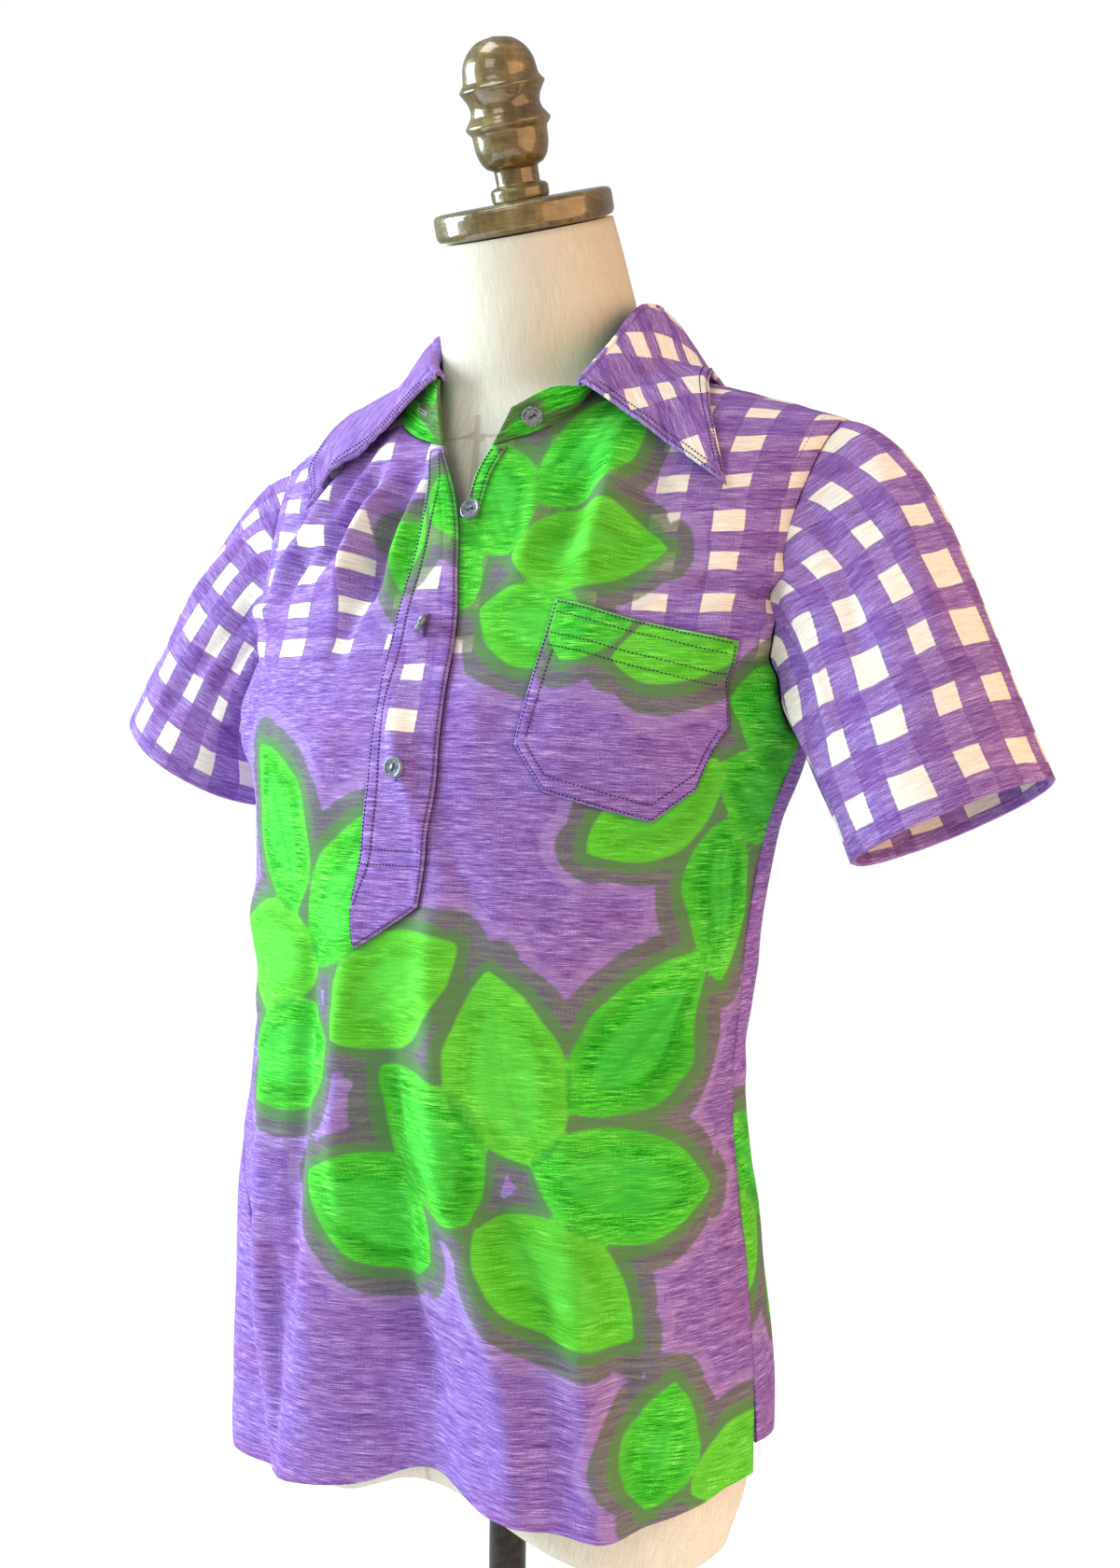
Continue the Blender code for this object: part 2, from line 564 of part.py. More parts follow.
def band_grid():
    """Outer face and normals of the stand, from the neckline up to the fold."""
    seam = neckline()
    run = np.concatenate([[0], np.cumsum(np.linalg.norm(np.diff(seam, axis=0), axis=1))])
    fine = np.sort(np.concatenate([run, (run[1:] + run[:-1]) / 2]))
    seam = np.stack([np.interp(fine, run, seam[:, k]) for k in range(3)], 1)
    top = along(np.array(COLLAR)[:, :3], 400)
    top = top[np.round(fine / run[-1] * 399).astype(int)]
    t = np.linspace(0, 1, 5)[None, :, None]
    outer = seam[:, None] * (1 - t) + top[:, None] * t
    normal = grid_normals(outer)
    out = np.stack([outer[..., 0], outer[..., 1] - 0.02, np.zeros(outer.shape[:2])], -1)
    normal *= np.sign(np.sum(normal * out, -1).mean())
    outer[:, 0] += unit(outer[:, 1] - outer[:, 0]) * BAND_CLEAR
    return outer, normal


def collar_band(mat):
    """The stand, with its front tongue."""
    outer, normal = band_grid()
    return wall("collar_band", outer, outer - normal * CLOTH, mat)


# ---------------------------------------------------------------- pieces on the front
# Upper placket: rise, and x of its wearer's-right and left edges.
PLACKET = (
    (0.591, -0.0220, -0.0125),
    (0.565, -0.0160, 0.0010),
    (0.540, -0.0160, 0.0100),
    (0.515, -0.0170, 0.0155),
    (0.490, -0.0185, 0.0205),
    (0.455, -0.0205, 0.0225),
    (0.415, -0.0215, 0.0230),
    (0.370, -0.0235, 0.0195),
    (0.340, -0.0260, 0.0165),
)
PLACKET_POINT = 0.024     # length of the pointed end
PLACKET_TIP = 0.12        # where across its width the point is
UNDER = ((0.018, 0.590), (0.0118, 0.570), (0.0105, 0.552))
UNDER_WIDTH = 0.009

# Pocket as (x, rise): its top corners, and its foot as (share across, x, rise).
POCKET_TOP = ((0.075, 0.500), (0.159, 0.480))
POCKET_FOOT = (
    (0.000, 0.065, 0.424),
    (0.125, 0.081, 0.400),
    (0.625, 0.127, 0.386),
    (0.875, 0.144, 0.402),
    (1.000, 0.156, 0.434),
)


def on_front(x, rise, out):
    """Points of the front at x and rise, moved out."""
    return body_point(turn_at(x, rise), rise, out)


def laid(name, x, rise, mat, lift=LIFT):
    """A piece that lies on the front, from a grid of (x, rise)."""
    low = on_front(x, rise, np.full(x.shape, lift))
    high = on_front(x, rise, np.full(x.shape, lift + CLOTH))
    return wall(name, high, low, mat)


def placket_upper(mat):
    """A strip down the opening that ends in a point."""
    table = np.array(PLACKET)
    rise = np.linspace(table[0, 0], table[-1, 0], 22)
    edges = [smooth(-rise, -table[:, 0], table[:, k]) for k in (1, 2)]
    u = np.linspace(0, 1, 6)[:, None]
    x = edges[0] * (1 - u) + edges[1] * u
    tail = np.clip((np.arange(22) - 18) / 3, 0, 1)
    reach = np.where(u < PLACKET_TIP, u / PLACKET_TIP, (1 - u) / (1 - PLACKET_TIP))
    return laid("placket_upper", x, rise - tail * PLACKET_POINT * reach, mat)


def placket_under(mat):
    """The strip along the wearer's left edge of the opening."""
    line = along(UNDER, 6)
    u = np.linspace(0, 1, 3)
    x = line[:, 0][None] + 0.0008 + u[:, None] * UNDER_WIDTH
    rise = line[:, 1][None] + 0 * u[:, None]
    return laid("placket_under", x, rise, mat)


def pocket(mat):
    """A patch with a pointed foot and cut corners."""
    u = np.linspace(0, 1, 9)
    shape = np.array(POCKET_FOOT)
    top = np.stack([np.interp(u, (0, 1), np.array(POCKET_TOP)[:, k]) for k in (0, 1)], 1)
    foot = np.stack([np.interp(u, shape[:, 0], shape[:, k]) for k in (1, 2)], 1)
    v = np.linspace(0, 1, 8)[None, :, None]
    grid = top[:, None] * (1 - v) + foot[:, None] * v
    return laid("pocket", grid[..., 0], grid[..., 1], mat)


# ---------------------------------------------------------------- dress form
# Sections of the form: height, half width, front and back depths, and how
# far its middle lies to the back.
FORM = (
    (0.225, 0.132, 0.077, 0.080, 0.000),
    (0.260, 0.1415, 0.078, 0.092, 0.000),
    (0.330, 0.141, 0.078, 0.090, 0.000),
    (0.400, 0.128, 0.076, 0.070, 0.000),
    (0.465, 0.112, 0.074, 0.064, 0.000),
    (0.540, 0.118, 0.082, 0.066, 0.000),
    (0.620, 0.136, 0.092, 0.078, 0.000),
    (0.680, 0.146, 0.084, 0.086, 0.000),
    (0.740, 0.150, 0.066, 0.078, 0.006),
    (0.780, 0.144, 0.058, 0.066, 0.012),
    (0.806, 0.120, 0.060, 0.052, 0.018),
    (0.826, 0.084, 0.062, 0.046, 0.022),
    (0.842, 0.059, 0.062, 0.042, 0.025),
    (0.862, 0.0535, 0.061, 0.046, 0.023),
    (0.885, 0.0545, 0.056, 0.054, 0.017),
    (0.905, 0.052, 0.050, 0.052, 0.010),
    (0.9320, 0.048, 0.045, 0.046, 0.002),
)
FORM_SEGMENTS = 28
FORM_LEVELS = 26
ARCH = 0.090              # how far the middle of its foot lies above the hips
ARCH_WIDTH = 0.065
FOOT_SLOPE = 0.03         # its left hip lies a little lower than its right
FOOT = ((0.94, 0.008), (0.80, 0.016), (0.52, 0.019), (0.22, 0.010))    # (size, drop) of the rings under it


def form_torso(mat):
    """Rings up the form, closed by an arched foot and by a plate's seat."""
    table = np.array(FORM)
    z = np.linspace(table[0, 0], table[-1, 0], FORM_LEVELS)
    wide, front, back, mid = (smooth(z, table[:, 0], table[:, k]) for k in range(1, 5))
    angle = np.linspace(0, 2 * math.pi, FORM_SEGMENTS, endpoint=False)[:, None]
    s, c = np.sin(angle), np.cos(angle)
    x = wide * np.sign(s) * np.abs(s) ** 0.92
    deep = np.where(c >= 0, -front, back) * np.abs(c) ** 0.92
    lean = fade(z, 0.86, table[-1, 0]) * math.tan(CAP_TILT)
    points = np.stack([x, mid + deep, z + lean * deep], -1)
    foot = points[:, 0].copy()
    rings = []
    for size, drop in FOOT[::-1]:
        ring = foot * np.array([size, size, 1])
        middle = np.exp(-((ring[:, 0] / ARCH_WIDTH) ** 2))
        ring[:, 2] = foot[:, 2] - drop + ARCH * middle * (1 - np.abs(ring[:, 1]) / 0.16) * (1 - 0.25 * size)
        ring[:, 2] -= FOOT_SLOPE * ring[:, 0]
        rings.append(ring)
    rise = np.exp(-((foot[:, 0] / ARCH_WIDTH) ** 2)) * ARCH * 0.45 - FOOT_SLOPE * foot[:, 0]
    points[:, 0, 2] += rise
    points[:, 1, 2] += rise * 0.6
    points[:, 2, 2] += rise * 0.25
    points = np.concatenate([np.stack(rings, 1), points], 1)
    rows = points.shape[1]
    under = np.array([0, 0, points[:, 0, 2].mean()])
    over = points[:, -1].mean(0)
    flat = np.concatenate([points.reshape(-1, 3), [under, over]])
    faces = grid_faces(FORM_SEGMENTS, rows, 0, True)
    low, high = FORM_SEGMENTS * rows, FORM_SEGMENTS * rows + 1
    for i in range(FORM_SEGMENTS):
        k = (i + 1) % FORM_SEGMENTS
        faces.append((low, k * rows, i * rows))
        faces.append((high, i * rows + rows - 1, k * rows + rows - 1))
    return add_object("form_torso", flat, faces, mat)


# The turned knob, as (radius, height over the plate).
FINIAL = (
    (0.0150, 0.0000), (0.0160, 0.0018), (0.0161, 0.0058), (0.0148, 0.0077), (0.0121, 0.0090), (0.0122, 0.0165),
    (0.0160, 0.0190), (0.0188, 0.0232), (0.0203, 0.0289), (0.0209, 0.0366), (0.0226, 0.0387), (0.0235, 0.0406),
    (0.0222, 0.0428), (0.0198, 0.0466), (0.0192, 0.0495), (0.0198, 0.0526), (0.0222, 0.0572), (0.0236, 0.0597),
    (0.0222, 0.0617), (0.0209, 0.0640), (0.0199, 0.0707), (0.0180, 0.0756), (0.0146, 0.0801), (0.0090, 0.0839),
)
FINIAL_HEIGHT = 0.0857
POLE_TOP = 0.2845


def stand(wood, iron):
    """Neck plate, finial, pole and base."""
    r, h = CAP_RADIUS, CAP_THICK
    turned("neck_cap", ((0, 0), (r - 0.004, 0), (r - 0.001, 0.002), (r, 0.004), (r, h - 0.003),
                        (r - 0.002, h - 0.001), (r - 0.005, h), (0, h)),
           wood, 32, CAP_CENTRE, CAP_TILT)
    foot = h + SEAM
    knob = [(0, foot)] + [(radius, foot + height) for radius, height in FINIAL] + [(0, foot + FINIAL_HEIGHT)]
    turned("finial", knob, wood, 24, CAP_CENTRE, CAP_TILT)
    turned("base", ((0, 0), (BASE_RADIUS, 0), (BASE_RADIUS, 0.008), (BASE_RADIUS - 0.006, 0.013),
                    (0.060, 0.018), (0.030, BASE_HEIGHT), (0, BASE_HEIGHT)), iron, 36)
    turned("pole", ((0, BASE_HEIGHT + SEAM), (POLE_RADIUS, BASE_HEIGHT + SEAM),
                    (POLE_RADIUS, POLE_TOP), (0, POLE_TOP)), iron, 20)


# ---------------------------------------------------------------- buttons
# On the front: name, x, rise, the height of the button's back over the panel
# and how far it is tipped up on its thread, in degrees.
BUTTONS = (
    ("button_2", 0.0165, 0.5500, 0.0030, 0),
    ("button_3", 0.0040, 0.4840, 0.0072, 45),
    ("button_4", 0.0020, 0.4100, 0.0034, 0),
)
TIP_WAY = (-0.89, 0.45)   # share of the tip to the wearer's left and upwards
BAND_BUTTON = (-3, 2)     # column and row of the band under the collar's button


def button(name, centre, normal, mat):
    """A dished disc on a centre, facing along normal."""
    side = unit(np.cross([0, 0, 1], normal))
    up = np.cross(normal, side)
    r, h = BUTTON_RADIUS, BUTTON_THICK
    profile = np.array(((r - 0.0006, 0), (r, 0.0006), (r, h - 0.0004), (r - 0.0006, h), (r - 0.0018, h - 0.0006)))
    angle = np.linspace(0, 2 * math.pi, 16, endpoint=False)
    ring = np.cos(angle)[:, None] * side + np.sin(angle)[:, None] * up
    points = centre + ring[:, None] * profile[None, :, :1] + normal * profile[None, :, 1:]
    rows = len(profile)
    flat = np.concatenate([points.reshape(-1, 3), [centre, centre + normal * (h - 0.0008)]])
    faces = grid_faces(16, rows, 0, True)
    low, high = 16 * rows, 16 * rows + 1
    for i in range(16):
        k = (i + 1) % 16
        faces.append((low, k * rows, i * rows))
        faces.append((high, i * rows + rows - 1, k * rows + rows - 1))
    return add_object(name, flat, faces, mat)


def buttons(mat):
    """One on the band's tongue and three down the front."""
    outer, normal = band_grid()
    way = normal[BAND_BUTTON]
    button("button_1", outer[BAND_BUTTON] + way * 0.0018, way, mat)
    for name, x, rise, out, tip in BUTTONS:
        x, rise = np.array(x), np.array(rise)
        way = body_normal(turn_at(x, rise), rise)
        side = unit(np.cross([0, 0, 1], way))
        aside = TIP_WAY[0] * side + TIP_WAY[1] * np.cross(way, side)
        tip = math.radians(tip)
        button(name, on_front(x, rise, out), unit(math.cos(tip) * way + math.sin(tip) * aside), mat)


def main():
    """Clears the scene and builds every piece."""
    for thing in list(bpy.data.objects):
        bpy.data.objects.remove(thing, do_unlink=True)
    purple = (0.27, 0.13, 0.52)
    panel("front", front_grid(), material("front_knit", purple, 0.85))
    panel("back", back_grid(), material("back_knit", purple, 0.85))
    for name, spec in SLEEVES.items():
        sleeve(name, material(name + "_knit", (0.42, 0.30, 0.62), 0.85), **spec)
    collar_band(material("band_knit", (0.12, 0.45, 0.10), 0.85))
    collar_leaf(material("leaf_knit", (0.42, 0.30, 0.62), 0.85))
    placket_upper(material("placket_knit", (0.30, 0.16, 0.55), 0.85))
    placket_under(material("under_knit", (0.12, 0.45, 0.10), 0.85))
    pocket(material("pocket_knit", (0.24, 0.12, 0.48), 0.85))
    buttons(material("pearl", (0.45, 0.50, 0.52), 0.3))
    form_torso(material("linen", (0.80, 0.76, 0.66), 0.8))
    stand(material("lacquer", (0.25, 0.20, 0.09), 0.35, 0.2), material("dark_iron", (0.03, 0.02, 0.02), 0.35, 0.6))


main()
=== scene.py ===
import math

import bpy
import numpy as np
from mathutils import Matrix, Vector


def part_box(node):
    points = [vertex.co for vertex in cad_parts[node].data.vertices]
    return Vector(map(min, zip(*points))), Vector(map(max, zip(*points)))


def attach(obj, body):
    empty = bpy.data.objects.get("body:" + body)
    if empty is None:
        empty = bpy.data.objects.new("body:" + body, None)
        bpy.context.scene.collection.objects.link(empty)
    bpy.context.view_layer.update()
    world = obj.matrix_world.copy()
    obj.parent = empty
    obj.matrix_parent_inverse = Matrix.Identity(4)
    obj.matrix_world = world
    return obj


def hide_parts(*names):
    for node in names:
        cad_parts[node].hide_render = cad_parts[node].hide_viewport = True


# A worn polo shirt in heathered knit, on a linen dress form with a turned finial.
# Metres, +Z up; the front faces -Y and the wearer's left side is +X.
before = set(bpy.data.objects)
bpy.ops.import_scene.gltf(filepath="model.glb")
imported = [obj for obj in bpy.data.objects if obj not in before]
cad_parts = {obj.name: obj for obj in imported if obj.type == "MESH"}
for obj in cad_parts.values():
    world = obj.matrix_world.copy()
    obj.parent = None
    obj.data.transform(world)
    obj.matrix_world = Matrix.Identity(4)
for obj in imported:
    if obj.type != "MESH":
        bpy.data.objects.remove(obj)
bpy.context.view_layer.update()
print("frame loaded")

# the shirt's body, one value per section from below the hem to the shoulder line
body = dict(
    square=2.2, armpit=0.43, shoulder=0.66,
    rise=(0.0, 0.08, 0.16, 0.24, 0.32, 0.38, 0.43, 0.48, 0.52, 0.56, 0.60, 0.63, 0.642, 0.65, 0.66),
    height=(0.225, 0.305, 0.385, 0.465, 0.545, 0.605, 0.654, 0.703, 0.741, 0.778, 0.814, 0.840,
            0.849, 0.855, 0.860),
    left=(0.156, 0.155, 0.148, 0.139, 0.145, 0.156, 0.173, 0.178, 0.180, 0.182, 0.185, 0.187,
          0.188, 0.188, 0.188),
    right=(0.182, 0.182, 0.179, 0.167, 0.159, 0.163, 0.174, 0.178, 0.180, 0.182, 0.185, 0.187,
           0.188, 0.188, 0.188),
    front=(0.105, 0.106, 0.109, 0.111, 0.109, 0.106, 0.101, 0.088, 0.076, 0.064, 0.051, 0.037,
           0.028, 0.019, 0.0),
    back=(0.104, 0.104, 0.092, 0.080, 0.083, 0.090, 0.096, 0.100, 0.099, 0.094, 0.091, 0.083,
          0.076, 0.064, 0.0),
    mid=(0.0, 0.0, 0.0, 0.0, 0.0, 0.0, 0.002, 0.004, 0.007, 0.012, 0.018, 0.024, 0.026, 0.028, 0.030),
    drop=(0.0, 0.0, 0.0, 0.0, 0.0, 0.0, 0.0, 0.004, 0.010, 0.017, 0.026, 0.035, 0.039, 0.041, 0.044),
)

# main folds: turn and rise at the top, turn and rise at the foot, half width in turn, height at both ends
folds = (
    (-0.04, 0.270, 0.0325, 0.000, 0.116, -0.004, -0.0266),
    (0.07, 0.300, 0.30, 0.000, 0.106, 0.002, 0.0027),
    (0.40, 0.280, 0.497, 0.000, 0.084, 0.001, 0.0136),
    (-0.10, 0.320, -0.267, 0.000, 0.10, 0.003, 0.0057),
    (-0.66, 0.280, -0.47, 0.000, 0.13, -0.002, -0.019),
    (1.60, 0.240, 1.66, 0.000, 0.16, 0.002, 0.012),
    (1.95, 0.260, 1.98, 0.000, 0.15, -0.002, -0.012),
    (-1.62, 0.240, -1.60, 0.000, 0.17, 0.002, 0.012),
    (0.95, 0.330, 0.72, 0.180, 0.12, 0.000, 0.003),
    (0.13, 0.440, 0.17, 0.290, 0.05, 0.003, -0.002),
    (0.29, 0.600, 0.32, 0.480, 0.07, 0.004, 0.003),
    (0.92, 0.520, 0.64, 0.470, 0.10, -0.004, 0.002),
    (-0.92, 0.520, -0.64, 0.470, 0.10, -0.004, 0.002),
    (-0.17, 0.590, -0.22, 0.500, 0.035, 0.004, 0.001),
    (-0.29, 0.600, -0.40, 0.490, 0.045, 0.004, 0.001),
)

# creases are drawn this many times the heights below, and stray this far from their lines
creaseScale, creaseWander = 2.0, 0.0022

# small creases on the flat cloth: u0, v0, u1, v1, half width and height, from a centre line and the hem up
frontCreases = (
    (-0.027, 0.340, -0.034, 0.130, 0.011, 0.0042), (0.027, 0.360, 0.026, 0.215, 0.011, 0.0036),
    (0.026, 0.235, 0.062, 0.120, 0.013, 0.0050), (0.058, 0.150, 0.079, 0.020, 0.013, 0.0046),
    (-0.004, 0.300, -0.004, 0.120, 0.009, -0.0034), (-0.022, 0.160, 0.024, 0.080, 0.010, -0.0044),
    (0.046, 0.215, 0.100, 0.110, 0.008, -0.0030), (0.092, 0.260, 0.117, 0.030, 0.014, 0.0040),
    (-0.061, 0.350, -0.078, 0.060, 0.009, -0.0036), (-0.098, 0.280, -0.112, 0.030, 0.012, 0.0034),
    (-0.090, 0.170, -0.092, 0.010, 0.006, -0.0026), (0.135, 0.270, 0.150, 0.070, 0.016, 0.0026),
    (0.108, 0.170, 0.140, 0.030, 0.010, -0.0026), (-0.014, 0.455, 0.036, 0.350, 0.008, 0.0036),
    (0.004, 0.420, 0.050, 0.330, 0.007, -0.0026), (-0.060, 0.440, -0.058, 0.360, 0.014, 0.0022),
    (-0.042, 0.582, -0.073, 0.500, 0.007, 0.0048), (-0.055, 0.590, -0.103, 0.512, 0.0065, -0.0046),
    (-0.064, 0.590, -0.118, 0.520, 0.006, 0.0042), (-0.074, 0.585, -0.132, 0.500, 0.006, -0.0044),
    (-0.086, 0.585, -0.150, 0.505, 0.006, 0.0036), (-0.030, 0.580, -0.050, 0.490, 0.007, -0.0034),
    (-0.100, 0.590, -0.160, 0.540, 0.007, -0.0026), (-0.020, 0.580, -0.032, 0.500, 0.006, 0.0030),
    (-0.049, 0.540, -0.060, 0.460, 0.008, -0.0030), (0.090, 0.592, 0.093, 0.500, 0.010, 0.0044),
    (0.075, 0.590, 0.074, 0.515, 0.008, -0.0030), (0.110, 0.590, 0.116, 0.515, 0.010, -0.0028),
    (0.050, 0.575, 0.052, 0.500, 0.008, 0.0022), (0.198, 0.520, 0.143, 0.500, 0.006, 0.0034),
    (0.197, 0.505, 0.140, 0.512, 0.005, -0.0028), (0.199, 0.492, 0.138, 0.488, 0.006, 0.0030),
    (0.199, 0.475, 0.150, 0.455, 0.006, -0.0028), (0.200, 0.462, 0.160, 0.430, 0.007, 0.0028),
    (-0.190, 0.505, -0.125, 0.500, 0.007, 0.0030), (-0.192, 0.480, -0.130, 0.462, 0.007, -0.0026),
    (-0.192, 0.460, -0.145, 0.410, 0.008, 0.0026), (0.185, 0.350, 0.100, 0.300, 0.012, 0.0022),
    (0.190, 0.315, 0.120, 0.240, 0.010, -0.0022), (0.185, 0.285, 0.130, 0.200, 0.010, 0.0020),
    (-0.180, 0.340, -0.100, 0.300, 0.013, 0.0022), (-0.175, 0.300, -0.120, 0.230, 0.010, -0.0022),
)
backCreases = (
    (-0.06, 0.30, -0.05, 0.05, 0.014, 0.0044), (0.03, 0.28, 0.045, 0.02, 0.012, -0.0040),
    (0.09, 0.30, 0.10, 0.06, 0.013, 0.0040), (-0.12, 0.26, -0.135, 0.03, 0.014, -0.0036),
    (0.15, 0.30, 0.05, 0.27, 0.012, 0.0036), (0.16, 0.26, 0.07, 0.24, 0.011, -0.0034),
    (-0.15, 0.31, -0.04, 0.285, 0.011, 0.0036), (-0.16, 0.27, -0.07, 0.25, 0.011, -0.0034),
    (0.14, 0.235, 0.06, 0.21, 0.010, 0.0030), (-0.14, 0.235, -0.05, 0.215, 0.010, 0.0030),
    (0.18, 0.50, 0.10, 0.54, 0.010, 0.0036), (-0.18, 0.50, -0.10, 0.545, 0.010, 0.0036),
    (0.185, 0.46, 0.11, 0.45, 0.009, -0.0032), (-0.185, 0.46, -0.11, 0.44, 0.009, -0.0032),
    (0.03, 0.62, 0.045, 0.50, 0.012, 0.0024), (-0.04, 0.62, -0.05, 0.50, 0.012, 0.0024),
)

seamTwist = ((0.0, 0.06, 0.12, 0.19, 0.28, 0.43), (0.54, 0.53, 0.47, 0.28, 0.0, 0.0))
frontHem = ((-0.46, -0.34, -0.22, -0.10, 0.02, 0.12, 0.22, 0.34, 0.46, 0.60, 0.76, 0.88, 1.0),
            (0.0138, 0.0186, 0.0237, 0.0294, 0.0420, 0.0396, 0.0336, 0.0321, 0.0314, 0.0350, 0.0409, 0.0470,
             0.0472))
backHem = ((1.0, 1.5, 2.0, 2.5, 3.0, 3.54), (0.062, 0.052, 0.038, 0.024, 0.012, 0.006))
armhole = dict(rise=(0.43, 0.46, 0.50, 0.55, 0.60, 0.64, 0.66),
               front=(0.0, 0.005, 0.009, 0.009, 0.007, 0.005, 0.004),
               back=(0.0, 0.004, 0.007, 0.008, 0.007, 0.005, 0.004))
vent = dict(top=0.085, open=0.018)
neckX = 0.064
neckRight = ((-0.064, 0.660), (-0.0615, 0.640), (-0.054, 0.618), (-0.036, 0.602), (-0.012, 0.592))
edgeRight = ((-0.012, 0.592), (-0.002, 0.571), (0.0075, 0.547))
edgeLeft = ((0.0095, 0.547), (0.0118, 0.570), (0.018, 0.592))
neckLeft = ((0.018, 0.592), (0.038, 0.600), (0.056, 0.616), (0.062, 0.640), (0.064, 0.660))
cloth = 0.0011            # thickness of one layer of knit
stitchGroove = 0.0021     # how far the first row of stitches presses in from a laid piece's edge
far = 9.0                 # more than any distance on the cloth


def smooth(x, xs, ys):    # monotone cubic through a table's points, flat past its ends
    xs, ys = np.asarray(xs, float), np.asarray(ys, float)
    step = np.diff(xs)
    slope = np.diff(ys) / step
    tangent = np.empty_like(ys)
    tangent[0], tangent[-1] = slope[0], slope[-1]
    before, after = slope[:-1], slope[1:]
    same = before * after > 0
    tangent[1:-1] = np.where(same, 2 * before * after / np.where(same, before + after, 1.0), 0.0)
    x = np.clip(x, xs[0], xs[-1])
    i = np.clip(np.searchsorted(xs, x, side="right") - 1, 0, len(xs) - 2)
    t = (x - xs[i]) / step[i]
    return ((1 + 2 * t) * (1 - t) ** 2 * ys[i] + t * (1 - t) ** 2 * step[i] * tangent[i]
            + t * t * (3 - 2 * t) * ys[i + 1] + t * t * (t - 1) * step[i] * tangent[i + 1])


def fade(x, low, high):   # 0 below low, 1 above high, an S curve between
    t = np.clip((x - low) / (high - low), 0, 1)
    return t * t * (3 - 2 * t)


def unit(v):
    return v / np.maximum(np.linalg.norm(v, axis=-1, keepdims=True), 1e-12)


def distances(points, axis=0):  # length run along a line, or one way of a grid, from 0 at its start
    step = np.linalg.norm(np.diff(points, axis=axis), axis=-1)
    return np.concatenate([np.zeros_like(step.take([0], axis)), np.cumsum(step, axis)], axis)


def valuesAt(at, run, values):  # each column of values, read off at distances along a line
    return np.stack([np.interp(at, run, values[:, k]) for k in range(values.shape[1])], 1)


def along(points, count):  # count points at even distances along a smooth line
    points = np.asarray(points, float)
    chord = distances(points)
    dense = np.linspace(0, chord[-1], 40 * len(points))
    line = np.stack([smooth(dense, chord, points[:, k]) for k in range(points.shape[1])], 1)
    return even(line, count)


def even(line, count):    # the same line with count points at even distances
    run = distances(line)
    return valuesAt(np.linspace(0, run[-1], count), run, line)


def foldHeight(turn, rise):
    # each fold is a bell across its line, and its height runs evenly from top to foot
    total = np.zeros(np.broadcast(turn, rise).shape)
    for turnTop, riseTop, turnFoot, riseFoot, width, high, low in folds:
        t = np.clip((riseTop - rise) / (riseTop - riseFoot), 0, 1)
        off = (turn - turnTop - (turnFoot - turnTop) * t + 2) % 4 - 2
        ends = 1 - fade(rise, riseTop, riseTop + 0.05)
        if riseFoot > 0:
            ends = ends * fade(rise, riseFoot - 0.05, riseFoot)
        total = total + (high + (low - high) * t) * ends * np.exp(-((off / width) ** 2))
    return total


def bodyPlain(turn, rise):
    # superellipse sections: x = w |sin|^p, y = mid p +- depth |cos|^p, z falls to the sides
    turn = (np.asarray(turn, float) + 2) % 4 - 2
    names = ("height", "left", "right", "front", "back", "mid", "drop")
    size = {k: smooth(rise, body["rise"], body[k]) for k in names}
    s, c = np.sin(turn * math.pi / 2), np.cos(turn * math.pi / 2)
    p, d = np.abs(s) ** (2 / body["square"]), np.abs(c) ** (2 / body["square"])
    x = np.where(s >= 0, size["left"], -size["right"]) * p
    y = size["mid"] * p + np.where(c >= 0, -size["front"], size["back"]) * d
    return np.stack([x, y, size["height"] - size["drop"] * p ** 1.5], -1)


def bodyNormal(turn, rise):
    # cross product of the tube's two directions, shared by both sides on the shoulder line
    step = 1e-3
    top = body["shoulder"] - 2 * step
    low = np.minimum(rise, top)

    def across(a):
        return unit(np.cross(bodyPlain(a + step, low) - bodyPlain(a - step, low),
                             bodyPlain(a, low + step) - bodyPlain(a, low - step)))
    normal = across(turn)
    both = unit(normal + across(2 - np.asarray(turn, float)))
    mix = fade(np.asarray(rise), top - 0.004, top)[..., None]
    return unit(normal * (1 - mix) + both * mix)


# lengths on the plain tube, for turns from -2 to 4: u round it from the centre front, and v up it
turnSteps, riseSteps = 720, 132
riseTable = np.linspace(0, body["shoulder"], riseSteps + 1)
plainTable = bodyPlain(np.linspace(-2, 4, turnSteps + 1)[:, None], riseTable[None])
uTable, vTable = distances(plainTable), distances(plainTable, 1)
uTable = uTable - uTable[turnSteps // 3]
uBack = uTable[turnSteps * 2 // 3]        # the centre back, at turn 2


def flatPlace(turn, rise, fromBack=False):  # distance round the cloth from a centre line, and up it
    a = np.clip((np.asarray(turn, float) + 2) / 6 * turnSteps, 0, turnSteps - 0.001)
    b = np.clip(np.asarray(rise, float) / body["shoulder"] * riseSteps, 0, riseSteps - 0.001)
    i, j = a.astype(int), b.astype(int)
    a, b = a - i, b - j

    def look(table):
        return ((1 - a) * (1 - b) * table[i, j] + a * (1 - b) * table[i + 1, j]
                + (1 - a) * b * table[i, j + 1] + a * b * table[i + 1, j + 1])
    u = look(uTable)
    if fromBack:
        u = u - np.interp(rise, riseTable, uBack)
    return u, look(vTable)


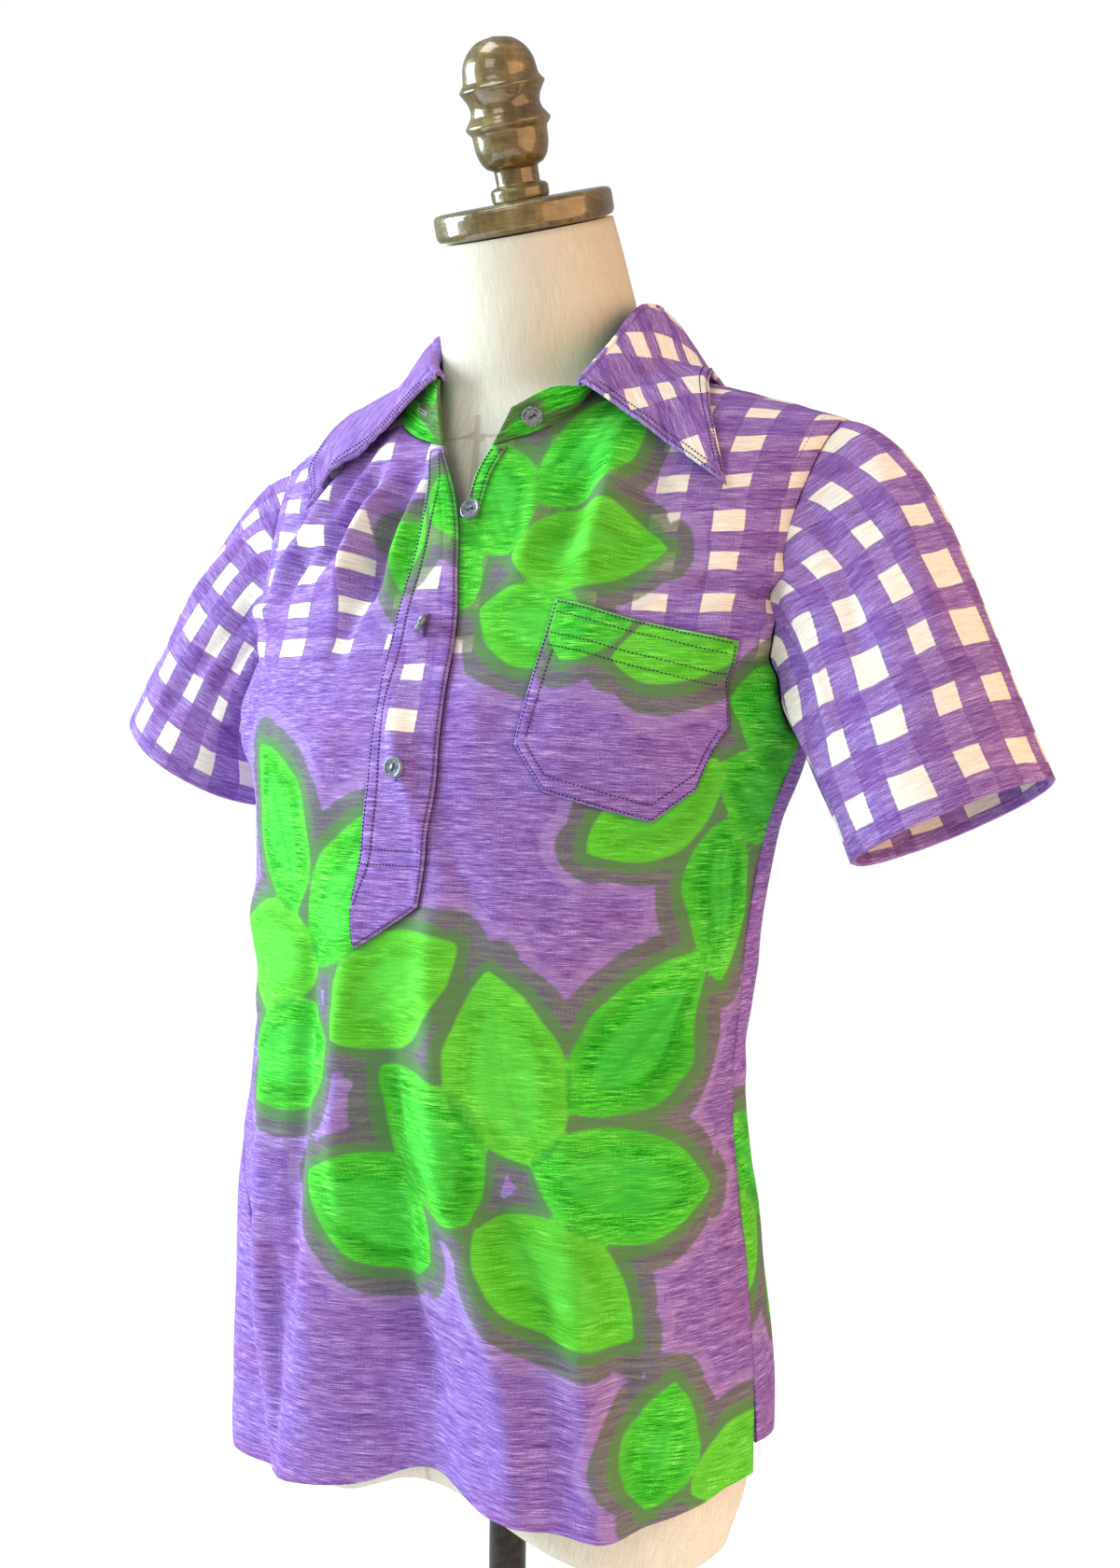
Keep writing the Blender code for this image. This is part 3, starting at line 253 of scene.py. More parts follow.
def creaseHeight(u, v, creases):  # a bell across each short line, fading to both its ends
    total = np.zeros(np.shape(u))
    for u0, v0, u1, v1, width, height in creases:
        length = math.hypot(u1 - u0, v1 - v0)
        du, dv = (u1 - u0) / length, (v1 - v0) / length
        t = ((u - u0) * du + (v - v0) * dv) / length
        wander = creaseWander * np.sin(5 * t + 40 * u0)
        off = -(u - u0) * dv + (v - v0) * du + wander
        ends = fade(t, -0.10, 0.35) * (1 - fade(t, 0.62, 1.12))
        total = total + creaseScale * height * ends * np.exp(-((off / width) ** 2))
    return total


def bodyPoint(turn, rise, out=0.0, back=False):  # the plain tube, moved out by its folds and creases
    u, v = flatPlace(turn, rise, back)
    ripple = 0.0006 * np.sin(61 * u + 9 * np.sin(14 * v)) * np.sin(37 * v + 5 * np.sin(23 * u))
    creases = backCreases if back else frontCreases
    height = foldHeight(turn, rise) + creaseHeight(u, v, creases) + ripple + out
    return bodyPlain(turn, rise) + bodyNormal(turn, rise) * height[..., None]


def turnAt(x, rise, back=False):  # the turn at which a section has this x
    onLeft = np.asarray(x) >= 0
    left, right = (smooth(rise, body["rise"], body[k]) for k in ("left", "right"))
    side = np.where(onLeft, left, right)
    turn = np.arcsin(np.clip(np.abs(x) / side, 0, 1) ** (body["square"] / 2)) / (math.pi / 2)
    turn = np.where(back, 2 - turn, turn)
    return np.where(onLeft, turn, -turn)


def patch(bottom, top, first, last):  # Coons patch: both ruled surfaces less the one through the corners
    u = np.linspace(0, 1, len(bottom))[:, None, None]
    v = np.linspace(0, 1, len(first))[None, :, None]
    return ((1 - v) * bottom[:, None] + v * top[:, None] + (1 - u) * first[None] + u * last[None]
            - (1 - u) * (1 - v) * bottom[0] - u * (1 - v) * bottom[-1] - (1 - u) * v * top[0]
            - u * v * top[-1])


# meshes
def gridMesh(name, points, mat, uv=None, fields=None, closed=False, thick=0.0, slot=None, replaces=(),
             turned=False):
    # quads between the points of a grid, faced the other way when turned; fields are numbers kept at its
    # points, and thick goes against the way the quads face
    nu, nv = points.shape[:2]
    index = np.arange(nu * nv).reshape(nu, nv)
    here = index if closed else index[:-1]
    after = np.roll(index, -1, 0) if closed else index[1:]
    order = slice(None, None, -1 if turned else 1)
    quads = np.stack([here[:, :-1], after[:, :-1], after[:, 1:], here[:, 1:]], -1)[..., order]
    quads = quads.reshape(-1, 4)
    thing = meshObject(name, points.reshape(-1, 3), quads, mat)
    if uv is not None:
        step = np.arange(uv.shape[0] * nv).reshape(uv.shape[0], nv)
        corner = np.stack([step[:-1, :-1], step[1:, :-1], step[1:, 1:], step[:-1, 1:]], -1)[..., order]
        corner = corner.reshape(-1)
        layer = thing.data.uv_layers.new(name="flat")
        layer.data.foreach_set("uv", uv.reshape(-1, 2)[corner].astype(np.float32).ravel())
    for key, values in (fields or {}).items():
        layer = thing.data.attributes.new(key, "FLOAT", "POINT")
        layer.data.foreach_set("value", np.broadcast_to(values, (nu, nv)).astype(np.float32).ravel())
    if thick:
        solid = thing.modifiers.new("thickness", "SOLIDIFY")
        solid.thickness = thick
        solid.offset = -1
    finishPiece(thing, replaces)
    return thing


def meshObject(name, points, faces, mat):
    faces = np.asarray(faces)
    mesh = bpy.data.meshes.new(name)
    mesh.vertices.add(len(points))
    mesh.vertices.foreach_set("co", np.asarray(points, np.float32).ravel())
    mesh.loops.add(faces.size)
    mesh.loops.foreach_set("vertex_index", faces.ravel().astype(np.int32))
    mesh.polygons.add(len(faces))
    mesh.polygons.foreach_set("loop_start", np.arange(0, faces.size, faces.shape[1], dtype=np.int32))
    mesh.polygons.foreach_set("loop_total", np.full(len(faces), faces.shape[1], np.int32))
    mesh.update(calc_edges=True)
    mesh.validate()
    mesh.shade_smooth()
    mesh.materials.append(mat)
    thing = bpy.data.objects.new(name, mesh)
    bpy.context.scene.collection.objects.link(thing)
    return thing


def finishPiece(thing, replaces=()):
    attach(thing, "root")
    if replaces:
        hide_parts(*replaces)


def gridNormals(points, closed=False):
    across = np.roll(points, -1, 0) - np.roll(points, 1, 0) if closed else np.gradient(points, axis=0)
    return unit(np.cross(across, np.gradient(points, axis=1)))


# materials
class Wire:               # a node's output that can be used in sums
    def __init__(self, tree, socket):
        self.tree, self.socket = tree, socket

    def math(self, operation, *rest):
        return addNode(self.tree, "ShaderNodeMath", dict(operation=operation),
                       dict(enumerate((self,) + rest)))

    def __add__(self, other):
        return self.math("ADD", other)

    def __sub__(self, other):
        return self.math("SUBTRACT", other)

    def __rsub__(self, other):
        return (self * -1).math("ADD", other)

    def __mul__(self, other):
        return self.math("MULTIPLY", other)

    def __truediv__(self, other):
        return self.math("DIVIDE", other)

    __radd__, __rmul__ = __add__, __mul__

    def clip(self):
        return self.math("MAXIMUM", 0.0).math("MINIMUM", 1.0)


def addNode(tree, kind, settings, sockets, out=0):
    node = tree.nodes.new(kind)
    for key, value in settings.items():
        if key == "stops":
            ramp = node.color_ramp
            while len(ramp.elements) < len(value):
                ramp.elements.new(0.5)
            for element, (place, colour) in zip(ramp.elements, value):
                element.position = place
                element.color = (*colour, 1)
        else:
            setattr(node, key, value)
    for key, value in sockets.items():
        if isinstance(value, Wire):
            tree.links.new(value.socket, node.inputs[key])
        elif isinstance(value, tuple) and len(value) == 3 and node.inputs[key].type == "RGBA":
            node.inputs[key].default_value = (*value, 1)
        else:
            node.inputs[key].default_value = value
    return Wire(tree, node.outputs[out])


def tint(red, green, blue):  # linear colour from 0-255 numbers as a screen shows them
    def line(c):
        c = c / 255
        return c / 12.92 if c <= 0.04045 else ((c + 0.055) / 1.055) ** 2.4
    return (line(red), line(green), line(blue))


def mixColour(tree, factor, one, two, how="MIX"):
    return addNode(tree, "ShaderNodeMix", dict(data_type="RGBA", blend_type=how),
                   {0: factor, 6: one, 7: two}, 2)


def ramp(tree, tone, *stops):   # a colour for each level of a tone
    return addNode(tree, "ShaderNodeValToRGB", dict(stops=stops), {0: tone})


def kept(tree, name):     # a number kept at the mesh's points
    return addNode(tree, "ShaderNodeAttribute", dict(attribute_name=name), {}, 2)


def stepAt(distance, blur=0.0006):
    # 1 where a distance is positive and 0 where it is negative, with a soft edge
    return (distance / blur + 0.5).clip()


def newMaterial(name, constants):
    mat = bpy.data.materials.new(name)
    mat.use_nodes = True
    shader = mat.node_tree.nodes["Principled BSDF"]
    for key, value in constants.items():
        shader.inputs[key].default_value = value
    return mat, mat.node_tree, shader


def noise(tree, place, scale, detail=2.0, rough=0.5):  # scale is (across, up) in cycles per metre
    spread = addNode(tree, "ShaderNodeVectorMath", dict(operation="MULTIPLY"), {0: place, 1: (*scale, 1.0)})
    return addNode(tree, "ShaderNodeTexNoise", dict(noise_dimensions="2D"),
                   {"Vector": spread, "Scale": 1.0, "Detail": detail, "Roughness": rough})


def solidNoise(tree, place, scale, detail=2.0, distortion=0.0):  # noise in space, in cycles per metre
    return addNode(tree, "ShaderNodeTexNoise", {},
                   {"Vector": place, "Scale": scale, "Detail": detail, "Distortion": distortion})


def spacePlace(tree):
    return addNode(tree, "ShaderNodeTexCoord", {}, {}, 3)


def stretched(tree, place, scales):
    return addNode(tree, "ShaderNodeVectorMath", dict(operation="MULTIPLY"), {0: place, 1: scales})


def finishMaterial(tree, shader, colour, relief, strength, depth):
    tree.links.new(colour.socket, shader.inputs["Base Color"])
    bump = addNode(tree, "ShaderNodeBump", {}, {"Height": relief, "Strength": strength, "Distance": depth})
    tree.links.new(bump.socket, shader.inputs["Normal"])


dyes = dict(
    purple=((0.20, tint(92, 56, 130)), (0.42, tint(126, 90, 168)),
            (0.58, tint(148, 114, 190)), (0.80, tint(190, 166, 222))),
    green=((0.20, tint(14, 114, 20)), (0.42, tint(38, 168, 32)),
           (0.60, tint(74, 208, 48)), (0.80, tint(140, 236, 106))),
    olive=((0.22, tint(56, 70, 46)), (0.50, tint(86, 104, 68)), (0.78, tint(124, 134, 106))),
    cream=((0.22, tint(222, 215, 200)), (0.50, tint(238, 233, 221)), (0.78, tint(250, 247, 238))),
)


def knitMaterial(name, check=None, leaves=False, allGreen=False, edged=False):
    # fine heather lies along the courses; check gives the windows' pitch, size, place and lowest line, and
    # may add a strip down one side, a bare course across or a side where the windows begin
    mat, tree, shader = newMaterial(name, {"Roughness": 0.88, "Sheen Weight": 0.03, "Sheen Roughness": 0.5,
                                           "Specular IOR Level": 0.12})
    flat = addNode(tree, "ShaderNodeUVMap", dict(uv_map="flat"), {})
    streak = noise(tree, flat, (88, 1800), 2.0, 0.65)
    band = noise(tree, flat, (18, 420), 2.0, 0.65)
    wale = noise(tree, flat, (1250, 90), 1.0)
    cloud = noise(tree, flat, (11, 24), 2.0)
    speck = noise(tree, flat, (1300, 1300), 1.0)
    tone = (streak - 0.5) * 1.15 + (band - 0.5) * 0.46 + (speck - 0.5) * 0.36 + (wale - 0.5) * 0.10 + 0.5
    colour = ramp(tree, tone, *dyes["purple"])
    colour = mixColour(tree, ((cloud - 0.52) * 5.0).clip() * 0.20, colour, tint(150, 88, 150))
    colour = mixColour(tree, ((0.46 - cloud) * 5.0).clip() * 0.18, colour, tint(116, 98, 204))
    green = ramp(tree, tone + (cloud - 0.5) * 0.3, *dyes["green"])
    olive, cream = (ramp(tree, tone, *dyes[k]) for k in ("olive", "cream"))
    u, v = (addNode(tree, "ShaderNodeSeparateXYZ", {}, {0: flat}, k) for k in (0, 1))
    if check:
        wobbleU, wobbleV = (noise(tree, flat, scale, 1.0) - 0.5 for scale in ((16, 22), (23, 15)))
        placeU, placeV = check["place"]
        pitchU, pitchV = check["pitch"]
        scaledU = u.math("MAXIMUM", 0.0) + u.math("MINIMUM", 0.0) * check.get("rightScale", 1.0)
        across = (scaledU - placeU + wobbleU * 0.005) / pitchU
        up = (v - placeV + wobbleV * 0.005) / pitchV
        column, row = across.math("FLOOR"), up.math("FLOOR")
        cell = addNode(tree, "ShaderNodeCombineXYZ", {}, {0: column, 1: row})
        draws = (("1D", "W", column + 3.0), ("1D", "W", row + 40.0), ("2D", "Vector", cell))
        chance = [addNode(tree, "ShaderNodeTexWhiteNoise", dict(noise_dimensions=size), {key: at}) - 0.5
                  for size, key, at in draws]
        openU, openV = check["open"]
        halfU = (chance[0] * 0.40 + chance[2] * 0.26 + 1.0) * (openU / 2)
        halfV = (chance[1] * 0.40 + chance[2] * 0.30 + 1.0) * (openV / 2)
        offU = (across.math("FRACT") - 0.5 + chance[1] * 0.06).math("ABSOLUTE") * pitchU
        offV = (up.math("FRACT") - 0.5 + chance[0] * 0.06).math("ABSOLUTE") * pitchV
        fray = (streak - 0.5) * 0.0010
        ways = ((halfU, offU), (halfV, offV))
        inU, inV = (stepAt(half - off + fray, 0.0005) for half, off in ways)
        rimU, rimV = (stepAt(half - off + 0.0009) for half, off in ways)
        zone = stepAt(v - placeV - check["foot"] + fray)
        if "strip" in check:
            low = stepAt(v - check["strip"][1]) * stepAt(u - check["strip"][0])
            zone = zone.math("MAXIMUM", low)
        if "bare" in check:
            zone = zone * stepAt((v - check["bare"]).math("ABSOLUTE") - 0.0100)
        if "side" in check:
            zone = zone * stepAt(u - check["side"])
        single = (inU + inV - inU * inV * 2.0) * zone
        worn = ((speck - 0.30) * 1.6 + band * 0.5).clip()
        colour = mixColour(tree, (1 - inU) * (1 - inV) * zone * 0.26, colour, tint(104, 62, 142))
        colour = mixColour(tree, single * worn * 0.22, colour, tint(196, 172, 220))
        colour = mixColour(tree, rimU * rimV * zone * 0.30, colour, tint(116, 104, 124))
        colour = mixColour(tree, inU * inV * zone, colour, cream)
    if leaves:
        edge, following, lengthways, sideways, own = (
            kept(tree, key) for key in ("leafEdge", "leafNext", "leafLong", "leafSide", "leafOwn"))
        ragged = (noise(tree, flat, (26, 36), 1.0) - 0.5) * 0.005 + (streak - 0.5) * 0.0016
        edge, following = edge + ragged, following + ragged
        sweep = addNode(tree, "ShaderNodeCombineXYZ", {},
                        {0: lengthways * 14.0 + own * 9.0, 1: sideways * 70.0})
        stroke = addNode(tree, "ShaderNodeTexNoise", dict(noise_dimensions="2D"),
                         {"Vector": sweep, "Scale": 1.0, "Detail": 2.0})
        halo = ((0.0150 - edge) / 0.0014).clip() * ((streak - 0.5) * 1.2 + 0.74).clip()
        near = ((0.0074 - edge) / 0.0022).clip() * ((streak - 0.5) * 1.2 + 0.62).clip()
        ghost = ((0.0215 - edge) / 0.0016).clip() * 0.22
        blade, over = stepAt(edge, -0.0014), stepAt(following, -0.0016)
        heart = ((edge + 0.013) / -0.004).clip()
        vein = ((0.0026 - sideways.math("ABSOLUTE")) / 0.0024).clip() * heart
        paint = mixColour(tree, ((stroke - 0.46) * 5.0).clip() * 0.42, green, tint(30, 138, 26))
        paint = mixColour(tree, ((edge + 0.0085) / 0.006).clip() * 0.36, paint, tint(100, 214, 70))
        paint = mixColour(tree, heart * 0.42, paint, tint(78, 216, 78))
        paint = mixColour(tree, over * 0.46, paint, tint(26, 132, 30))
        paint = mixColour(tree, vein * 0.20, paint, tint(22, 112, 26))
        paint = mixColour(tree, ((own - 0.45) * 3.0).clip() * 0.26, paint, tint(136, 218, 60))
        colour = mixColour(tree, ghost, colour, tint(190, 164, 210))
        colour = mixColour(tree, halo, colour, olive)
        colour = mixColour(tree, near, colour, tint(80, 146, 56))
        colour = mixColour(tree, blade, colour, paint)
    if allGreen:
        patchy = ((noise(tree, flat, (24, 30), 1.0) - 0.44) / 0.05).clip()
        colour = mixColour(tree, patchy * 0.85, green, olive)
    if leaves and not edged:
        shade = kept(tree, "laidOff")     # painted shadow on the front close beside a laid piece
        colour = mixColour(tree, ((0.0030 - shade) / 0.0030).clip() * 0.42, colour, tint(52, 30, 78))
    if edged:
        rim = kept(tree, "pieceEdge")     # painted highlight on the fold, painted shade in the stitches' groove
        grooveShade = ((0.0007 - (rim - stitchGroove).math("ABSOLUTE")) / 0.0005).clip()
        colour = mixColour(tree, ((0.0009 - rim) / 0.0005).clip() * 0.16, colour, tint(196, 178, 214))
        colour = mixColour(tree, grooveShade * 0.30, colour, tint(70, 42, 100))
    finishMaterial(tree, shader, colour, streak + speck * 0.5 + wale * 0.6, 0.26, 0.0003)
    return mat


def threadMaterial(name, colour):
    mat, tree, shader = newMaterial(name, {"Roughness": 0.7})
    twist = solidNoise(tree, spacePlace(tree), 2500.0)
    shade = mixColour(tree, twist, tuple(c * 0.6 for c in colour), tuple(min(1.0, c * 1.4) for c in colour))
    tree.links.new(shade.socket, shader.inputs["Base Color"])
    return mat


# the print: broad pointed leaves in loose sprays, worked out on the flat cloth
def spray(u, v, heading, size, count=5):  # one leaf ahead and the others in pairs behind it
    leaves = []
    for k in range(count):
        side = 0 if k == 0 else (1 if k % 2 else -1)
        step = (k + 1) // 2
        angle = math.radians(heading + side * (34 + 24 * step))
        back = size * (0.36 * step - 0.20)
        base = (u - back * math.cos(math.radians(heading)), v - back * math.sin(math.radians(heading)))
        reach = size * 0.47
        leaves.append((base[0] + reach * math.cos(angle), base[1] + reach * math.sin(angle), angle,
                       size * (1.0 - 0.06 * step), size * (0.60 if k % 2 else 0.55),
                       (k * 0.37 + size * 13) % 1.0))
    return leaves


frontLeaves = (spray(-0.064, 0.318, 118, 0.104, 5) + spray(0.090, 0.226, 48, 0.106, 6)
               + spray(0.172, 0.404, 275, 0.086, 4) + spray(0.052, 0.538, 62, 0.086, 5)
               + spray(0.150, 0.046, 20, 0.070, 2))
backLeaves = (spray(-0.06, 0.45, 110, 0.100, 6) + spray(0.09, 0.30, 50, 0.106, 7)
              + spray(-0.10, 0.17, 150, 0.100, 6) + spray(0.08, 0.10, 290, 0.084, 4)
              + spray(0.15, 0.47, 200, 0.080, 3) + spray(0.19, 0.19, 100, 0.084, 3)
              + spray(-0.238, 0.155, 95, 0.090, 3))
pocketLeaves = spray(0.098, 0.468, 12, 0.072, 2)
placketLeaves = spray(-0.012, 0.562, 250, 0.050, 2)


def leafFields(u, v, leaves):
    # signed distances to the outlines of the two nearest leaves, and the place along and across the nearest
    best, following = np.full(np.shape(u), far), np.full(np.shape(u), far)
    lengthways, sideways, own = np.zeros(np.shape(u)), np.ones(np.shape(u)), np.zeros(np.shape(u))
    for cu, cv, angle, length, width, tone in leaves:
        x = (u - cu) * math.cos(angle) + (v - cv) * math.sin(angle)
        bow = 1 if tone > 0.5 else -1
        y = -(u - cu) * math.sin(angle) + (v - cv) * math.cos(angle) + 1.6 * x * x * bow
        place = x / length + 0.5
        half, ahead = (width / 2 * np.sin(math.pi * np.clip(place + step, 0.002, 0.998) ** 0.86) ** 0.78
                       for step in (0.0, 0.01))
        slope = np.clip((ahead - half) / (0.01 * length), -0.75, 0.75)
        off = np.where(np.abs(x) > length / 2, np.hypot(np.abs(x) - length / 2, y / 1.25),
                       (np.abs(y) - half) / np.sqrt(1 + slope ** 2))
        near = off < best
        following = np.where(near, best, np.minimum(following, off))
        best, own = np.where(near, off, best), np.where(near, tone, own)
        lengthways, sideways = np.where(near, x, lengthways), np.where(near, y, sideways)
    return dict(leafEdge=best, leafNext=following, leafLong=lengthways, leafSide=sideways, leafOwn=own)


checks = dict(
    front=dict(pitch=(0.0330, 0.0225), open=(0.0140, 0.0098), place=(0.007, 0.466), foot=0.002,
               rightScale=0.72),
    back=dict(pitch=(0.0330, 0.0225), open=(0.0140, 0.0098), place=(-0.0065, 0.466), foot=0.002,
              strip=(0.198, 0.288)),
    sleeveLeft=dict(pitch=(0.0310, 0.0330), open=(0.0160, 0.0165), place=(0.004, 0.0), foot=-far),
    sleeveRight=dict(pitch=(0.0300, 0.0320), open=(0.0148, 0.0165), place=(0.012, 0.0), foot=-far),
    leaf=dict(pitch=(0.0430, 0.0175), open=(0.0150, 0.0095), place=(0.006, -0.004), foot=-far, side=0.03),
    placket=dict(pitch=(0.0400, 0.0255), open=(0.0125, 0.0115), place=(-0.020, 0.4222), foot=0.0,
                 bare=0.486),
)
looks = dict(front=dict(leaves=True), back=dict(leaves=True), sleeveLeft={}, sleeveRight={},
             leaf=dict(edged=True), band=dict(allGreen=True), placket=dict(leaves=True, edged=True),
             under=dict(allGreen=True, edged=True), pocket=dict(leaves=True, edged=True))
knit = {key: knitMaterial(key + "Knit", checks.get(key), **look) for key, look in looks.items()}
seamThread = threadMaterial("seamThread", tint(44, 26, 68))
print("materials ready")


# stitches
def sideFirst(grid, side):
    across = grid.transpose(1, 0, 2)
    return {"firstV": grid, "lastV": grid[:, ::-1], "firstU": across, "lastU": across[:, ::-1]}[side]


def insetLine(points, side, distance, values=None):
    # the values on the line at a distance from one of a grid's sides, measured along the grid's own lines
    grid, values = sideFirst(points, side), sideFirst(points if values is None else values, side)
    run = distances(grid, 1)
    return np.array([[np.interp(distance, run[i], values[i, :, k]) for k in range(3)]
                     for i in range(len(grid))])


def stitchRow(line, normals, length=0.0014, gap=0.0007, radius=0.00033):
    # short spindles of four square rings, laid end to end on a line; returns their points and faces
    run = distances(line)
    count = int(run[-1] / (length + gap))
    start = np.arange(count) * (length + gap) + gap / 2
    up = unit(valuesAt(start + length / 2, run, normals))
    one, two = valuesAt(start, run, line), valuesAt(start + length, run, line)
    way = unit(two - one)
    aside = np.cross(way, up)
    rings = []
    for share, size, lift in ((0.0, 0.25, -0.4), (0.22, 1.0, 0.35), (0.78, 1.0, 0.35), (1.0, 0.25, -0.4)):
        centre = one + (two - one) * share + up * radius * lift
        for k in range(4):
            turn = math.pi / 2 * k
            rings.append(centre + (aside * math.cos(turn) + up * math.sin(turn)) * radius * size)
    points = np.stack(rings, 1)
    faces = []
    for ring in range(3):
        for k in range(4):
            n = (k + 1) % 4
            faces.append((ring * 4 + k, ring * 4 + n, ring * 4 + 4 + n, ring * 4 + 4 + k))
    faces += [(3, 2, 1, 0), (12, 13, 14, 15)]
    faces = np.array(faces)[None] + (np.arange(count) * 16)[:, None, None]
    return points.reshape(-1, 3), faces.reshape(-1, 4)


def sew(name, rows, mat):
    points, faces, start = [], [], 0
    for line, normals, *sizes in rows:
        p, f = stitchRow(line, normals, *sizes)
        points.append(p)
        faces.append(f + start)
        start += len(p)
    thing = meshObject(name, np.concatenate(points), np.concatenate(faces), mat)
    finishPiece(thing)
    return thing


def gridRow(points, side, distance, lift, trim=0.0, outward=None):
    # one row of stitches near a side of a grid, upright on the cloth just inside them
    line = insetLine(points, side, distance)
    normals = insetLine(points, side, distance + 0.004, gridNormals(points))
    reach = distances(line)
    first, last = np.broadcast_to(trim, 2)
    inside = (reach >= first) & (reach <= reach[-1] - last)
    line, normals = line[inside], normals[inside]
    if outward is not None:
        normals = normals * np.sign(np.sum(normals * outward, 1, keepdims=True))
    line = even(line, max(60, len(line) * 3))
    normals = even(normals, len(line))
    return line + unit(normals) * lift, normals


# front and back
def sideLine(sign, back, hemRise, lowCount, armCount):
    ventRows = max(3, lowCount // 5)
    low = np.concatenate([np.linspace(hemRise, vent["top"], ventRows)[:-1],
                          np.linspace(vent["top"], body["armpit"], lowCount - ventRows + 1)])
    high = np.linspace(body["armpit"], body["shoulder"], armCount)[1:]
    turnLow = np.full(lowCount, float(sign))
    if sign < 0:
        turnLow = turnLow + smooth(low, *seamTwist)
    inset = smooth(high, armhole["rise"], armhole["back" if back else "front"])
    width = smooth(high, body["rise"], body["left" if sign > 0 else "right"])
    line = np.stack([np.concatenate([turnLow, turnAt(sign * (width - inset), high, back)]),
                     np.concatenate([low, high])], 1)
    if back and sign < 0:
        line[:, 0] += 4
        line[:lowCount, 0] = 4 + turnLow
    slit = vent["open"] / 2 * (1 - fade(line[:, 1], hemRise, vent["top"]))
    line[:, 0] += slit * (sign if back else -sign)
    return line


def shoulderLine(xFrom, xTo, count, back=False):
    x = np.linspace(xFrom, xTo, count)
    rise = np.full(count, body["shoulder"])
    return np.stack([turnAt(x, rise, back), rise], 1)


def neckPart(rows, count):
    line = along(rows, count)
    return np.stack([turnAt(line[:, 0], line[:, 1]), line[:, 1]], 1)


def backNeckRise(x):
    return body["shoulder"] - 0.018 * np.sqrt(np.clip(1 - (x / neckX) ** 2, 0, 1))


panels = dict(tip=0.184, shoulderSteps=26, neckSteps=34, edgeSteps=20, lowCount=120, armCount=84,
              hemDepth=0.018, hemRows=6, hemInside=0.0026)


def frontGrid():
    first = sideLine(-1, False, frontHem[1][0], panels["lowCount"], panels["armCount"])
    last = sideLine(1, False, frontHem[1][-1], panels["lowCount"], panels["armCount"])
    tip, n, m, e = (panels[k] for k in ("tip", "shoulderSteps", "neckSteps", "edgeSteps"))
    top = np.concatenate([shoulderLine(-tip, -neckX, n + 1)[:-1], neckPart(neckRight, m + 1)[:-1],
                          neckPart(edgeRight, e + 1), neckPart(edgeLeft, e + 1)[:-1],
                          neckPart(neckLeft, m + 1)[:-1], shoulderLine(neckX, tip, n + 1)])
    turns = np.linspace(first[0, 0], last[0, 0], len(top))
    return patch(np.stack([turns, smooth(turns, *frontHem)], 1), top, first, last)


def backGrid():
    first = sideLine(1, True, backHem[1][0], panels["lowCount"], panels["armCount"])
    last = sideLine(-1, True, backHem[1][-1], panels["lowCount"], panels["armCount"])
    tip, n = panels["tip"], panels["shoulderSteps"]
    seam = turnAt(np.linspace(tip, neckX, n + 1), np.full(n + 1, body["shoulder"]), True)
    x = np.linspace(neckX, -neckX, 81)[1:-1]
    rise = backNeckRise(x)
    turn = np.concatenate([seam, turnAt(x, rise, True) % 4, 4 - seam[::-1]])
    level = np.full(n + 1, body["shoulder"])
    top = np.stack([turn, np.concatenate([level, rise, level])], 1)
    turns = np.linspace(first[0, 0], last[0, 0], len(top))
    return patch(np.stack([turns, smooth(turns, *backHem)], 1), top, first, last)


def outlineDistance(u, v, outlines):
    # signed distance on the flat cloth to closed outlines, negative inside them
    total = []
    for here in np.array_split(np.stack([u, v], -1).reshape(-1, 1, 2), 40):
        best = np.full(len(here), far)
        for one in outlines:
            way = np.roll(one, -1, 0) - one
            t = np.clip(((here - one) * way).sum(2) / ((way * way).sum(1) + 1e-12), 0, 1)
            gap = np.linalg.norm(here - one - t[..., None] * way, axis=2).min(1)
            crosses = (one[:, 1] > here[..., 1]) != (np.roll(one, -1, 0)[:, 1] > here[..., 1])
            slope = way[:, 0] / np.where(np.abs(way[:, 1]) < 1e-9, 1e-9, way[:, 1])
            hits = crosses & (here[..., 0] < one[:, 0] + (here[..., 1] - one[:, 1]) * slope)
            best = np.minimum(best, np.where(hits.sum(1) % 2 == 1, -gap, gap))
        total.append(best)
    return np.concatenate(total).reshape(np.shape(u))


def panelPiece(name, grid, back, mat, leaves, slot, node, outlines=()):
    turn, rise = grid[..., 0], grid[..., 1]
    points = bodyPoint(turn, rise, 0.0, back)
    u, v = flatPlace(turn, rise, back)
    rows = panels["hemRows"]
    footTurn, footRise = turn[:, :1], rise[:, :1]
    inside = np.full(footTurn.shape, -panels["hemInside"])
    turned = []
    for k in range(rows, -1, -1):         # the hem turns under and lies inside
        up = panels["hemDepth"] * k / rows
        turned.append(bodyPoint(footTurn, footRise + up, inside, back))
    turned.append(bodyPoint(footTurn, footRise - 0.0009, inside / 2, back))
    points = np.concatenate(turned + [points], 1)
    uPad = np.repeat(u[:, :1], rows + 2, 1)
    vPad = v[:, :1] - np.linspace(panels["hemDepth"], 0, rows + 2)[None]
    u, v = np.concatenate([uPad, u], 1), np.concatenate([vPad, v], 1)
    fields = leafFields(u, v, leaves)
    # distance to the laid pieces' outlines, which sets the painted shadow beside them on the front
    fields["laidOff"] = outlineDistance(u, v, outlines)
    thing = gridMesh(name, points, mat, np.stack([u, v], -1), fields, thick=cloth, slot=slot,
                     replaces=(node,))
    return thing, points


def flatArea(points):     # area of a grid's quads
    a = points[1:, 1:] - points[:-1, :-1]
    b = points[1:, :-1] - points[:-1, 1:]
    return float(0.5 * np.linalg.norm(np.cross(a, b), axis=2).sum())


